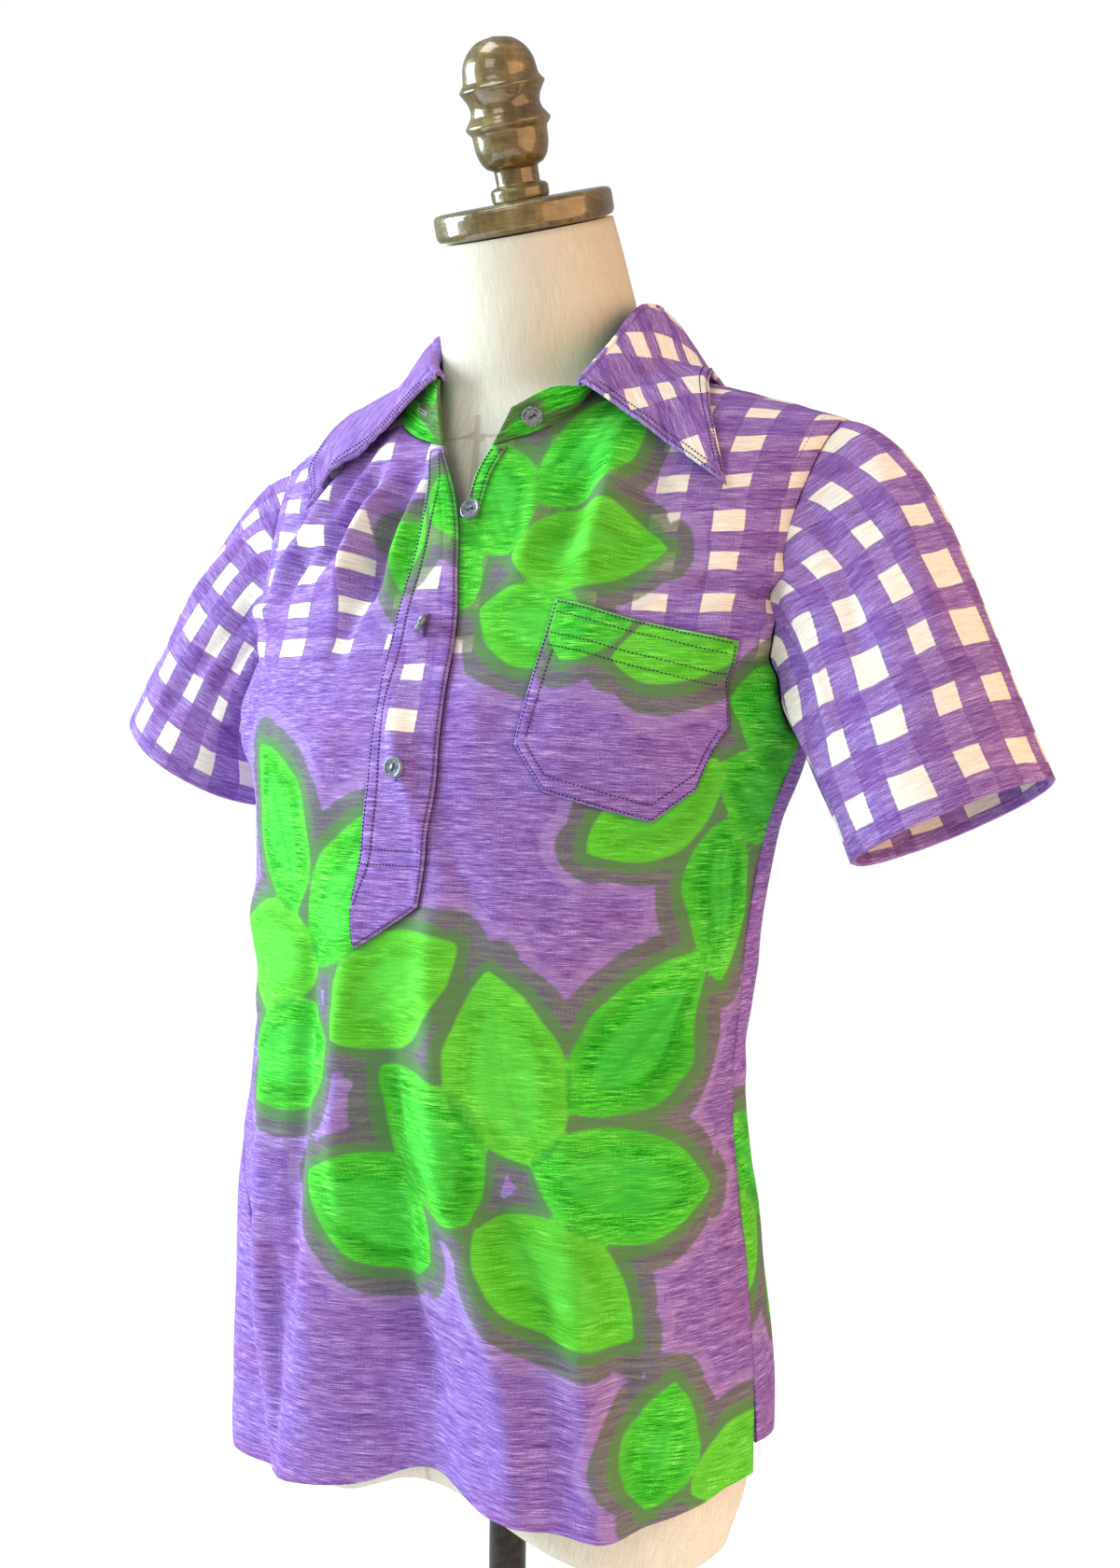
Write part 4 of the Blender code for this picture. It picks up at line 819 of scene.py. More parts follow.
placket = dict(
    rise=(0.591, 0.565, 0.540, 0.515, 0.490, 0.455, 0.415, 0.370, 0.340),
    right=(-0.0220, -0.0160, -0.0160, -0.0170, -0.0185, -0.0205, -0.0215, -0.0235, -0.0260),
    left=(-0.0125, 0.0010, 0.0100, 0.0155, 0.0205, 0.0225, 0.0230, 0.0195, 0.0165),
    point=0.024, tip=0.12, columns=41, rows=230,
)


def placketPlan():
    rise = np.linspace(placket["rise"][0], placket["rise"][-1], placket["rows"])
    edges = [smooth(-rise, [-r for r in placket["rise"]], placket[k]) for k in ("right", "left")]
    u = np.linspace(0, 1, placket["columns"])[:, None]
    x = edges[0] * (1 - u) + edges[1] * u
    tail = np.clip((placket["rise"][-1] + 0.026 - rise) / 0.026, 0, 1)
    reach = np.where(u < placket["tip"], u / placket["tip"], (1 - u) / (1 - placket["tip"]))
    return x, rise - tail * placket["point"] * reach


pocket = dict(top=((0.075, 0.500), (0.159, 0.480)), share=(0.0, 0.125, 0.625, 0.875, 1.0),
              footX=(0.065, 0.081, 0.127, 0.144, 0.156), footRise=(0.424, 0.400, 0.386, 0.402, 0.434))


def pocketPlan():
    u = np.linspace(0, 1, 97)
    top = np.stack([np.interp(u, (0, 1), [row[k] for row in pocket["top"]]) for k in (0, 1)], 1)
    foot = np.stack([np.interp(u, pocket["share"], pocket[k]) for k in ("footX", "footRise")], 1)
    v = np.linspace(0, 1, 97)[None, :, None]
    grid = top[:, None] * (1 - v) + foot[:, None] * v
    return grid[..., 0], grid[..., 1]


def planOutline(x, rise):  # a plan's border on the flat cloth
    u, v = flatPlace(turnAt(x, rise), rise)
    grid = np.stack([u, v], -1)
    return np.concatenate([grid[:-1, 0], grid[-1, :-1], grid[:0:-1, -1], grid[0, :0:-1]])[::3]


placketPlanX, placketPlanRise = placketPlan()
pocketPlanX, pocketPlanRise = pocketPlan()
laidOutlines = [planOutline(placketPlanX, placketPlanRise), planOutline(pocketPlanX, pocketPlanRise)]
front, frontPoints = panelPiece("frontPanel", frontGrid(), False, knit["front"], frontLeaves, "front_knit",
                                "front", laidOutlines)
back, backPoints = panelPiece("backPanel", backGrid(), True, knit["back"], backLeaves, "back_knit", "back")
# every sheet's flat size is the cut of what shows
round(flatArea(frontPoints), 3)
round(flatArea(backPoints), 3)
print("front and back", round(flatArea(frontPoints), 3), round(flatArea(backPoints), 3))

# sleeves: a Bezier loft from the armhole to the hem's ellipse
sleeves = dict(
    sleeve_left=dict(sign=1, centre=(0.257, -0.002, 0.613), across=(0.047, 0.023), depth=0.054,
                     mat=knit["sleeveLeft"],
                     creases=((0.6, 0.10, 0.9, 0.75, 0.14, 0.0036), (1.5, 0.05, 1.25, 0.6, 0.13, 0.0032),
                              (2.3, 0.0, 1.9, 0.5, 0.12, -0.0028), (4.9, 0.1, 4.5, 0.8, 0.2, 0.0036),
                              (1.05, 0.0, 1.2, 0.4, 0.1, -0.003), (2.9, 0.15, 2.5, 0.7, 0.15, 0.0024),
                              (0.2, 0.15, 0.35, 0.9, 0.12, -0.0030), (5.6, 0.2, 5.9, 0.9, 0.16, 0.003))),
    sleeve_right=dict(sign=-1, centre=(-0.231, 0.0, 0.636), across=(-0.049, 0.029), depth=0.054,
                      mat=knit["sleeveRight"],
                      creases=((0.7, 0.05, 1.0, 0.7, 0.14, 0.0036), (1.4, 0.1, 1.7, 0.8, 0.13, -0.0030),
                               (2.2, 0.0, 2.5, 0.6, 0.13, 0.0028), (4.9, 0.1, 4.6, 0.8, 0.2, 0.0034),
                               (1.05, 0.0, 1.25, 0.5, 0.1, -0.003), (0.2, 0.2, 0.3, 0.9, 0.12, 0.0030))),
)


def armholeLoop(sign, count):
    lowCount, armCount = 4, count // 2 + 1
    frontSide = sideLine(sign, False, 0.05, lowCount, armCount)[lowCount - 1:]
    backSide = sideLine(sign, True, 0.05, lowCount, armCount)[lowCount - 1:]
    up, down = frontSide.T, backSide[::-1].T
    ring = np.concatenate([bodyPoint(*up), bodyPoint(*down, 0.0, True)[1:-1]])
    way = np.concatenate([bodyNormal(*up), bodyNormal(*down)[1:-1]])
    closed, ways = (np.concatenate([a, a[:1]]) for a in (ring, way))
    run = distances(closed)
    at = np.linspace(0, run[-1], count + 1)[:-1]
    return valuesAt(at, run, closed), unit(valuesAt(at, run, ways))


def sleevePiece(name, sign, centre, across, depth, mat, creases, count=150, rows=84):
    ring, ringNormal = armholeLoop(sign, count)
    angle = np.linspace(0, 2 * math.pi, count, endpoint=False)
    wide = np.array([across[0], 0, across[1]])
    hem = (np.array(centre) - np.cos(angle)[:, None] * wide
           + np.sin(angle)[:, None] * np.array([0, -depth, 0]))
    axis = unit(np.array(centre) - ring.mean(0))
    top = 0.5 - 0.5 * np.cos(angle)[:, None]
    outward = unit(np.array([sign * 1.0, 0, -0.10]))
    ring = ring + ringNormal * 0.0018 * (1 - top) ** 2 - ringNormal * 0.0006 * top
    start = ring + outward * 0.048 * top ** 1.5 + axis * 0.012 * (1 - top)
    span = np.linalg.norm(hem - ring, axis=1)[:, None]
    hemWay = unit(np.cross(wide, [0, -depth, 0])) * sign
    hemWay = hemWay * np.sign(hemWay @ axis)
    stop = hem - hemWay * span * 0.35
    t = np.linspace(0, 1, rows) ** 1.05
    s = t[None, :, None]
    a, b, c, d = (q[:, None] for q in (ring, start, stop, hem))
    points = (1 - s) ** 3 * a + 3 * s * (1 - s) ** 2 * b + 3 * s * s * (1 - s) * c + s ** 3 * d
    normal = gridNormals(points, True)
    normal *= np.sign(np.sum(normal * (points - points.mean(0, keepdims=True)), -1).mean())
    lift = np.zeros(points.shape[:2])
    for angle0, t0, angle1, t1, width, height in creases:
        part = np.clip((t - t0) / (t1 - t0), 0, 1)[None]
        off = (angle[:, None] - angle0 - (angle1 - angle0) * part + math.pi) % (2 * math.pi) - math.pi
        ends = fade(t, t0 - 0.1, t0 + 0.12)[None] * (1 - fade(t, t1 - 0.1, t1 + 0.15))[None]
        lift = lift + height * ends * np.exp(-((off / width) ** 2))
    here = angle[:, None]
    lift = lift + 0.0006 * np.sin(5 * here + 4 * t[None]) * np.sin(7 * t[None] + 2 * here)
    points = points + normal * lift[..., None]
    # the seam's edge turns in, and the hem turns up 2.5 mm inside
    points[:, 0] -= unit(points[:, 1] - points[:, 0]) * 0.0016 + normal[:, 0] * 0.0010
    inner = [points[:, -1] + hemWay * 0.0010 - normal[:, -1] * 0.0012]
    inner += [points[:, -1 - 2 * k] - normal[:, -1 - 2 * k] * 0.0025 for k in range(7)]
    full = np.concatenate([points, np.stack(inner, 1)], 1)
    run = distances(full, 1)
    loop = np.concatenate([full, full[:1]])
    around = distances(loop)
    uRow = around - around[count // 2]
    vRow = np.concatenate([run, run[:1]])
    vRow = vRow[:, rows - 1:rows] - vRow
    if sign > 0:
        full = full[::-1]
        uRow, vRow = uRow[::-1], vRow[::-1]
    thing = gridMesh(name.replace("_l", "L").replace("_r", "R"), full, mat, np.stack([uRow, vRow], -1),
                     closed=True, thick=cloth, slot=name + "_knit", replaces=(name,))
    area = flatArea(loop)
    round(float(run[:, rows - 1].max()), 3)
    print(name, "area", round(area, 3))


for name, spec in sleeves.items():
    sleevePiece(name, **spec)

# collar: rows round the neck from the wearer's right front end over the back
collar = dict(
    fold=((-0.0200, -0.0480, 0.8433), (-0.0340, -0.0360, 0.8530), (-0.0460, -0.0160, 0.8640),
          (-0.0620, 0.0140, 0.8795), (-0.0500, 0.0600, 0.8900), (0.0, 0.0850, 0.8920),
          (0.0520, 0.0600, 0.8890), (0.0660, 0.0220, 0.8840), (0.0690, -0.0160, 0.8570),
          (0.0672, -0.0430, 0.8335)),
    edge=((-0.1150, -0.0390, 0.7775), (-0.1190, -0.0200, 0.7970), (-0.1120, 0.0020, 0.8215),
          (-0.1020, 0.0340, 0.8440), (-0.0780, 0.0860, 0.8420), (0.0, 0.1120, 0.8360),
          (0.0780, 0.0860, 0.8420), (0.1010, 0.0360, 0.8450), (0.1140, 0.0060, 0.8280),
          (0.1447, -0.0270, 0.7765)),
    tongue=((0.0587, -0.0500, 0.8333), (0.0339, -0.0580, 0.8232)),
    roll=0.008, bend=0.0026, foldClear=0.0030, leafClear=0.0056, steps=170, rows=44, thick=0.0022,
)


def keepClear(points, gap):  # moves points out to at least gap from the body's face
    turn, rise = np.meshgrid(np.linspace(-2, 2, 201), np.linspace(0.50, body["shoulder"], 65),
                             indexing="ij")
    atBack = (np.abs(turn) > 1)[..., None]
    skin = np.where(atBack, bodyPoint(turn, rise, 0.0, True), bodyPoint(turn, rise)).reshape(-1, 3)
    way = bodyNormal(turn, rise).reshape(-1, 3)
    moved = []
    for part in np.array_split(points.reshape(-1, 3), 40):
        near = ((part[:, None] - skin[None]) ** 2).sum(2).argmin(1)
        height = np.sum((part - skin[near]) * way[near], 1)
        push = np.maximum(gap - height, 0)
        moved.append(part + way[near] * push[:, None])
    return np.concatenate(moved).reshape(points.shape)


def smoothGrid(points, rounds):  # evens a grid out inside its own border
    for _ in range(rounds):
        inner = (points[:-2, 1:-1] + points[2:, 1:-1] + points[1:-1, :-2] + points[1:-1, 2:]) / 4
        points = points.copy()
        points[1:-1, 1:-1] = 0.5 * points[1:-1, 1:-1] + 0.5 * inner
    return points


def leafSurface():
    count = len(collar["fold"])
    place = np.linspace(0, count - 1, collar["steps"] + 1)
    fold, edge = (np.stack([smooth(place, np.arange(count), np.array(collar[k])[:, j])
                            for j in range(3)], 1)
                  for k in ("fold", "edge"))
    t = np.linspace(0, 1, collar["rows"])[None, :, None]
    out = unit(np.stack([fold[:, 0], fold[:, 1] - 0.02, np.zeros(len(fold))], 1))
    knee = fold + out * collar["roll"] + np.array([0, 0, 0.002])
    start = fold + out * collar["foldClear"]
    points = (1 - t) ** 2 * start[:, None] + 2 * t * (1 - t) * knee[:, None] + t * t * edge[:, None]
    points[:, 6:] = keepClear(points[:, 6:], collar["leafClear"])
    points = smoothGrid(points, 6)
    turned, bend = [], collar["bend"]     # the cloth rolls over the band's top and down its inside
    for turnOver in np.linspace(math.pi, 0.25 * math.pi, 6)[:-1]:
        turned.append(fold + out * (bend / 2 + bend * math.cos(turnOver))
                      + np.array([0, 0, bend * math.sin(turnOver)]))
    return np.concatenate([np.stack(turned, 1), points], 1), len(turned)


def unroll(one, two):     # lays a strip flat, triangle by triangle, from its middle rib both ways
    def third(a, b, ra, rb, side):
        # the point at distances ra and rb from a and b, on one side of them
        gap = np.hypot(*(b - a))
        x = (ra * ra - rb * rb + gap * gap) / (2 * gap)
        y = math.sqrt(max(ra * ra - x * x, 0.0)) * side
        way = (b - a) / gap
        return a + way * x + np.array([-way[1], way[0]]) * y
    middle, flat = len(one) // 2, np.zeros((2, len(one), 2))
    flat[1, middle] = (0.0, -np.linalg.norm(two[middle] - one[middle]))
    for step, side in ((1, 1), (-1, -1)):
        for k in range(middle, len(one) - 1 if step > 0 else 0, step):
            n = k + step
            toOne, toTwo, rib, cross = (np.linalg.norm(p - q) for p, q in (
                (one[n], one[k]), (one[n], two[k]), (two[n], one[n]), (two[n], two[k])))
            flat[0, n] = third(flat[0, k], flat[1, k], toOne, toTwo, side)
            flat[1, n] = third(flat[0, n], flat[1, k], rib, cross, side)
    return flat


leafPoints, leafStart = leafSurface()
leafFlat = unroll(leafPoints[:, leafStart], leafPoints[:, -1])
leafRun, leafAcross = distances(leafPoints, 1), distances(leafPoints)
foldRun = leafRun[:, leafStart:leafStart + 1]
leafShare = ((leafRun - foldRun) / (leafRun[:, -1:] - foldRun))[..., None]
leafUv = leafFlat[0][:, None] * (1 - leafShare) + leafFlat[1][:, None] * leafShare
leafBorder = np.minimum(np.minimum(leafAcross, leafAcross[-1:] - leafAcross), leafRun[:, -1:] - leafRun)
# the leaf's distance to its edges places the painted highlight on the fold and the painted groove shade
collarLeaf = gridMesh("collarLeaf", leafPoints[::-1], knit["leaf"], leafUv[::-1],
                      dict(pieceEdge=leafBorder[::-1]),
                      thick=collar["thick"], slot="leaf_knit", replaces=("collar_leaf",))
round(flatArea(leafPoints), 4)


def neckLine(count):
    x = np.linspace(-neckX, neckX, 83)[1:-1]
    rise = backNeckRise(x)
    backPart = np.stack([turnAt(x, rise, True), rise], 1)
    right, left = neckPart(neckRight[::-1], 40), neckPart(neckLeft[::-1], 40)
    line = np.concatenate([bodyPoint(*right.T), bodyPoint(*backPart.T, 0.0, True), bodyPoint(*left.T)])
    return even(line, count)


def bandSurface(count=190, rows=22):
    # ruled from the panels' neckline up to the fold line and its tongue, both in equal steps, and bowed out
    seam = neckLine(count)
    top = along(collar["fold"] + collar["tongue"], count)
    t = np.linspace(0, 1, rows)[None, :, None]
    points = seam[:, None] * (1 - t) + top[:, None] * t
    normal = gridNormals(points)
    out = np.stack([points[..., 0], points[..., 1] - 0.02, np.zeros(points.shape[:2])], -1)
    normal *= np.sign(np.sum(normal * out, -1).mean())
    points = points + normal * (0.0012 * np.sin(math.pi * t))
    points[:, 0] += unit(points[:, 1] - points[:, 0]) * 0.0004
    return points, normal


bandPoints, bandNormals = bandSurface()
bandRise = distances(bandPoints, 1)
bandUv = np.stack([np.broadcast_to(distances(bandPoints[:, 10])[:, None], bandRise.shape), bandRise], -1)
band = gridMesh("collarBand", bandPoints, knit["band"], bandUv, thick=0.0018, slot="band_knit",
                replaces=("collar_band",))
round(flatArea(bandPoints), 4)
print("collar")


# pieces laid on the front
def laidSurface(x, rise, out):
    turn = turnAt(x, rise)
    return bodyPoint(turn, rise, out), np.stack(flatPlace(turn, rise), -1)


def edgeDistance(points):   # each grid point's distance to the nearest side of its grid
    left, low = distances(points), distances(points, 1)
    return np.minimum(np.minimum(left, left[-1:] - left), np.minimum(low, low[:, -1:] - low))


def laidPiece(name, x, rise, mat, node, slot, lift=0.0016, thick=0.0014, puff=0.0, leaves=()):
    # stands off by its own thickness and is a little fuller inside its edges, with a groove along its
    # stitches: out = lift + thick S(edge) + puff S(inside), less a bell on each row of stitches
    points, _ = laidSurface(x, rise, np.full(x.shape, lift))
    near = edgeDistance(points)
    out = lift + thick * fade(near, 0.0, 0.0020) + puff * fade(near, 0.009, 0.03)
    for row, deep, wide in ((stitchGroove, 0.00045, 0.0009), (0.0088, 0.0003, 0.001)):
        out = out - deep * np.exp(-((near - row) / wide) ** 2)
    points, flat = laidSurface(x, rise, out)
    fields = leafFields(flat[..., 0], flat[..., 1], leaves)
    # distance to the piece's edge, which places the painted highlight on the fold and the painted groove
    # shade
    fields["pieceEdge"] = near
    thing = gridMesh(name, points, mat, flat, fields, thick=cloth, slot=slot, replaces=(node,), turned=True)
    round(flatArea(points), 5)
    return points


placketPoints = laidPiece("placketUpper", placketPlanX, placketPlanRise, knit["placket"], "placket_upper",
                          "placket_knit", leaves=placketLeaves)

under = dict(line=((0.018, 0.590), (0.0118, 0.570), (0.0105, 0.552)), inset=0.0008, width=0.009,
             lift=0.0014, thick=0.0005)
underX, underRise = along(under["line"], 40).T
underShare = np.linspace(0, 1, 10)[:, None]
underPoints = laidPiece("placketUnder", underX[None] + under["inset"] + underShare * under["width"],
                        underRise[None] + 0 * underShare, knit["under"], "placket_under", "under_knit",
                        lift=under["lift"], thick=under["thick"])

pocketPoints = laidPiece("pocketPatch", pocketPlanX, pocketPlanRise, knit["pocket"], "pocket",
                         "pocket_knit", puff=0.0014, leaves=pocketLeaves)
print("placket and pocket")

# rows of stitches: a grid's side, the distance from it, and what is left bare at the row's ends
rows = dict(
    placket=(("firstU", 0.0018, 0.002), ("firstU", 0.0085, 0.004), ("lastU", 0.0018, 0.002),
             ("lastV", 0.0018, 0.002)),
    pocket=(("firstU", 0.0016, 0.002), ("firstU", 0.0088, (0.026, 0.009)), ("lastU", 0.0016, 0.002),
            ("lastV", 0.0016, 0.002), ("lastV", 0.0088, 0.009), ("firstV", 0.0016, 0.002),
            ("firstV", 0.0072, 0.003), ("firstV", 0.0180, 0.003), ("firstV", 0.0245, 0.003)),
    collar=(("lastV", 0.0016, 0.002), ("firstU", 0.0016, 0.002), ("lastU", 0.0016, 0.002),
            ("lastV", 0.0055, 0.006), ("firstU", 0.0055, 0.006), ("lastU", 0.0055, 0.006)),
    opening=(("firstU", 0.0012, 0.001), ("firstU", 0.0072, 0.001)),
    armhole=(("firstU", 0.0085, 0.006), ("lastU", 0.0085, 0.006)),     # fainter, in finer stitches
    level=(0.3675, 0.3600), laidLift=0.0002, leafLift=0.0024, fine=(0.0014, 0.0012, 0.00017),
)
facing = np.array([0.0, -1.0, 0.15])


def levelRow(rise, lift=0.0031):       # straight across the placket at one height
    x = np.array([np.interp(rise, up[::-1], across[::-1])
                  for up, across in zip(placketPlanRise, placketPlanX)])[2:-2]
    rise = np.full(x.shape, rise)
    return even(laidSurface(x, rise, lift + 0 * x)[0], 160), even(bodyNormal(turnAt(x, rise), rise), 160)


def rowsOn(points, key, lift, outward=None):
    return [gridRow(points, side, gap, lift, trim, outward) for side, gap, trim in rows[key]]


sew("placketStitches", rowsOn(placketPoints, "placket", rows["laidLift"], facing)
    + [levelRow(rise) for rise in rows["level"]], seamThread)
sew("pocketStitches", rowsOn(pocketPoints, "pocket", rows["laidLift"], facing), seamThread)
sew("collarStitches", rowsOn(leafPoints[:, leafStart + 4:], "collar", rows["leafLift"]), seamThread)
sew("openingStitches", rowsOn(underPoints, "opening", rows["laidLift"], facing), seamThread)
armRows = rowsOn(frontPoints[:, -panels["armCount"]:], "armhole", 0.0, facing)
sew("armholeStitches", [row + rows["fine"] for row in armRows], seamThread)


def buttonhole(middle, down, aside, normal, half=0.0062, wide=0.0008):
    # close thread round a slit: down one side, round the end and back
    stitch, gap, radius = 0.00062, 0.0, 0.00034
    t = np.linspace(0, 2 * math.pi, 60)
    run = np.clip(np.cos(t) * 1.25, -1, 1) * half
    line = middle + run[:, None] * down + (np.sin(t) * wide)[:, None] * aside
    return line, np.broadcast_to(normal, line.shape), stitch, gap, radius


def frontHole(x, rise, out):
    x, rise = np.array(x), np.array(rise)
    middle, normal = bodyPoint(turnAt(x, rise), rise, np.array(out)), bodyNormal(turnAt(x, rise), rise)
    down = unit(bodyPoint(turnAt(x, rise - 0.004), rise - 0.004, np.array(out)) - middle)
    return middle, down, np.cross(normal, down), normal


# x and rise on the front, and column and row on the band's grid
buttonholes = dict(onFront=((0.0040, 0.4850), (0.0020, 0.4090)), frontLift=0.0031, onBand=(9, 8),
                   bandLift=0.0021, bandHalf=0.0064)
holes = [buttonhole(*frontHole(x, rise, buttonholes["frontLift"])) for x, rise in buttonholes["onFront"]]
sew("frontButtonholes", holes, threadMaterial("holeThread", tint(104, 76, 140)))
column, level = buttonholes["onBand"]
bandOut = bandNormals[column, level]
bandAlong = unit(bandPoints[column + 5, level] - bandPoints[column - 5, level])
bandPlace = bandPoints[column, level] + bandOut * buttonholes["bandLift"]
bandHole = buttonhole(bandPlace, bandAlong, np.cross(bandOut, bandAlong), bandOut, buttonholes["bandHalf"])
sew("bandButtonhole", [bandHole], threadMaterial("paleThread", tint(206, 190, 224)))
print("stitches")


# buttons: a dished two-hole disc with a rim, and thread through its holes
buttons = dict(radius=0.0057, thick=0.0024, hole=0.0008, spread=0.0014, around=72, faceRings=34,
               threadRadius=0.00028, threadGap=0.00022, bandLift=0.0010,
               # node, x, rise, height over the body, turn and tip in degrees
               onFront=(("button_2", 0.0165, 0.5500, 0.0030, 20, 0),
                        ("button_3", 0.0040, 0.4840, 0.0072, 80, 45),
                        ("button_4", 0.0020, 0.4100, 0.0034, 75, 0)))


def pearlMaterial():
    mat, tree, shader = newMaterial("pearl",
                                    {"Roughness": 0.22, "Coat Weight": 0.6, "Specular IOR Level": 0.6})
    swirl = solidNoise(tree, spacePlace(tree), 420.0, 3.0, 1.5)
    colour = ramp(tree, swirl, (0.30, tint(72, 78, 90)), (0.5, tint(106, 114, 128)),
                  (0.70, tint(150, 158, 168)))
    tree.links.new(colour.socket, shader.inputs["Base Color"])
    return mat


pearl = pearlMaterial()
buttonThread = threadMaterial("buttonThread", tint(60, 52, 48))


def buttonPiece(node, centre, normal, turnDegrees):
    # height over the disc as a function of radius, with two pits; a ring grid closed at both ends
    side = unit(np.cross([0, 0, 1.0], normal))
    up = np.cross(normal, side)
    a = math.radians(turnDegrees)
    side, up = side * math.cos(a) + up * math.sin(a), up * math.cos(a) - side * math.sin(a)
    r, h = buttons["radius"], buttons["thick"]
    low = np.array([(0.0, 0.0), (r * 0.6, 0.0), (r - 0.0005, 0.0), (r, 0.0006), (r, h - 0.0006),
                    (r - 0.0002, h - 0.0002)])
    rim, under, shown = r - 0.0006, len(low), buttons["faceRings"]
    radius = np.concatenate([low[:, 0], np.linspace(rim, 0.0, shown)])
    angle = np.linspace(0, 2 * math.pi, buttons["around"], endpoint=False)[:, None]
    inner = radius[under:]
    face = h - 0.0009 * fade(rim - inner, 0.0002, 0.0013) + 0.00025 * fade(0.0022 - inner, 0.0, 0.002)
    grid = np.repeat(np.concatenate([low[:, 1], face])[None], buttons["around"], 0)
    x, y = radius[None] * np.cos(angle), radius[None] * np.sin(angle)
    for sign in (-1, 1):
        gap = np.hypot(x[:, under:] - sign * buttons["spread"], y[:, under:])
        grid[:, under:] -= 0.0013 * (1 - fade(gap, buttons["hole"] * 0.75, buttons["hole"] * 1.15))
    points = centre + x[..., None] * side + y[..., None] * up + grid[..., None] * normal
    gridMesh(node.replace("_", "Disc"), points, pearl, closed=True, slot="pearl", replaces=(node,))
    bar = np.linspace(0, 1, 12)
    line = (centre + normal * (h - 0.0011 + 0.0006 * np.sin(math.pi * bar))[:, None]
            + side * ((bar * 2 - 1) * buttons["spread"])[:, None])
    ring = np.linspace(0, 2 * math.pi, 8, endpoint=False)[None, :, None]
    wall = buttons["threadRadius"] * (np.cos(ring) * up + np.sin(ring) * normal)
    for letter, offset in (("a", -buttons["threadGap"]), ("b", buttons["threadGap"])):
        tube = line[:, None] + offset * up + wall
        gridMesh(node.replace("_", "Thread") + letter, tube.transpose(1, 0, 2), buttonThread, closed=True,
                 slot="pearl")


for node, x, rise, out, turned, tip in buttons["onFront"]:
    x, rise, tip = np.array(x), np.array(rise), math.radians(tip)
    way = bodyNormal(turnAt(x, rise), rise)
    side = unit(np.cross([0, 0, 1.0], way))
    way = unit(math.cos(tip) * way + math.sin(tip) * (-0.89 * side + 0.45 * np.cross(way, side)))
    buttonPiece(node, bodyPoint(turnAt(x, rise), rise, np.array(out)), way, turned)
lowCorner, highCorner = (np.array(c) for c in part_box("button_1"))
nearest = ((bandPoints - (lowCorner + highCorner) / 2) ** 2).sum(2)
row, col = np.unravel_index(nearest.argmin(), nearest.shape)
bandOut = bandNormals[row, col]
buttonPiece("button_1", bandPoints[row, col] + bandOut * buttons["bandLift"], bandOut, 30)
print("buttons")


# dress form
form = dict(
    height=(0.225, 0.260, 0.330, 0.400, 0.465, 0.540, 0.620, 0.680, 0.740, 0.780, 0.806, 0.826,
            0.842, 0.862, 0.885, 0.905, 0.9320),
    wide=(0.132, 0.1415, 0.141, 0.128, 0.112, 0.118, 0.136, 0.146, 0.150, 0.144, 0.120, 0.084,
          0.059, 0.0535, 0.0545, 0.052, 0.048),
    front=(0.077, 0.078, 0.078, 0.076, 0.074, 0.082, 0.092, 0.084, 0.066, 0.058, 0.060, 0.062,
           0.062, 0.061, 0.056, 0.050, 0.045),
    back=(0.080, 0.092, 0.090, 0.070, 0.064, 0.066, 0.078, 0.086, 0.078, 0.066, 0.052, 0.046,
          0.042, 0.046, 0.054, 0.052, 0.046),
    mid=(0.0, 0.0, 0.0, 0.0, 0.0, 0.0, 0.0, 0.0, 0.006, 0.012, 0.018, 0.022,
         0.025, 0.023, 0.017, 0.010, 0.002),
    foot=((0.0, 0.22, 0.52, 0.80, 0.94, 1.0), (0.006, 0.010, 0.019, 0.016, 0.008, 0.0)),
    arch=0.090, archWidth=0.065, slope=0.03, tilt=math.radians(19.5), around=144, girth=0.72,
    seams=(0.0, 0.62, 2.2, 3.14159, 4.1, 5.66), waistSeam=0.465,
    neckSeam=0.8275, neckSeamLean=0.25, neckSeamMid=0.02,
)


def linenMaterial():
    mat, tree, shader = newMaterial("linenCover", {"Roughness": 0.82, "Sheen Weight": 0.1,
                                                   "Specular IOR Level": 0.25})
    flat = addNode(tree, "ShaderNodeUVMap", dict(uv_map="flat"), {})
    warp = noise(tree, flat, (1100, 70), 2.0)
    weft = noise(tree, flat, (120, 1500), 2.0)
    cloud = noise(tree, flat, (9, 9), 2.0)
    tone = warp * 0.5 + weft * 0.3 + cloud * 0.2
    colour = ramp(tree, tone, (0.30, tint(200, 195, 176)), (0.5, tint(217, 213, 197)),
                  (0.70, tint(232, 229, 217)))
    line = stepAt(0.0006 - kept(tree, "seam").math("ABSOLUTE"), 0.0004)
    colour = mixColour(tree, line * 0.45, colour, tint(166, 150, 124))
    finishMaterial(tree, shader, colour, warp + weft - line * 3.0, 0.4, 0.0004)
    return mat


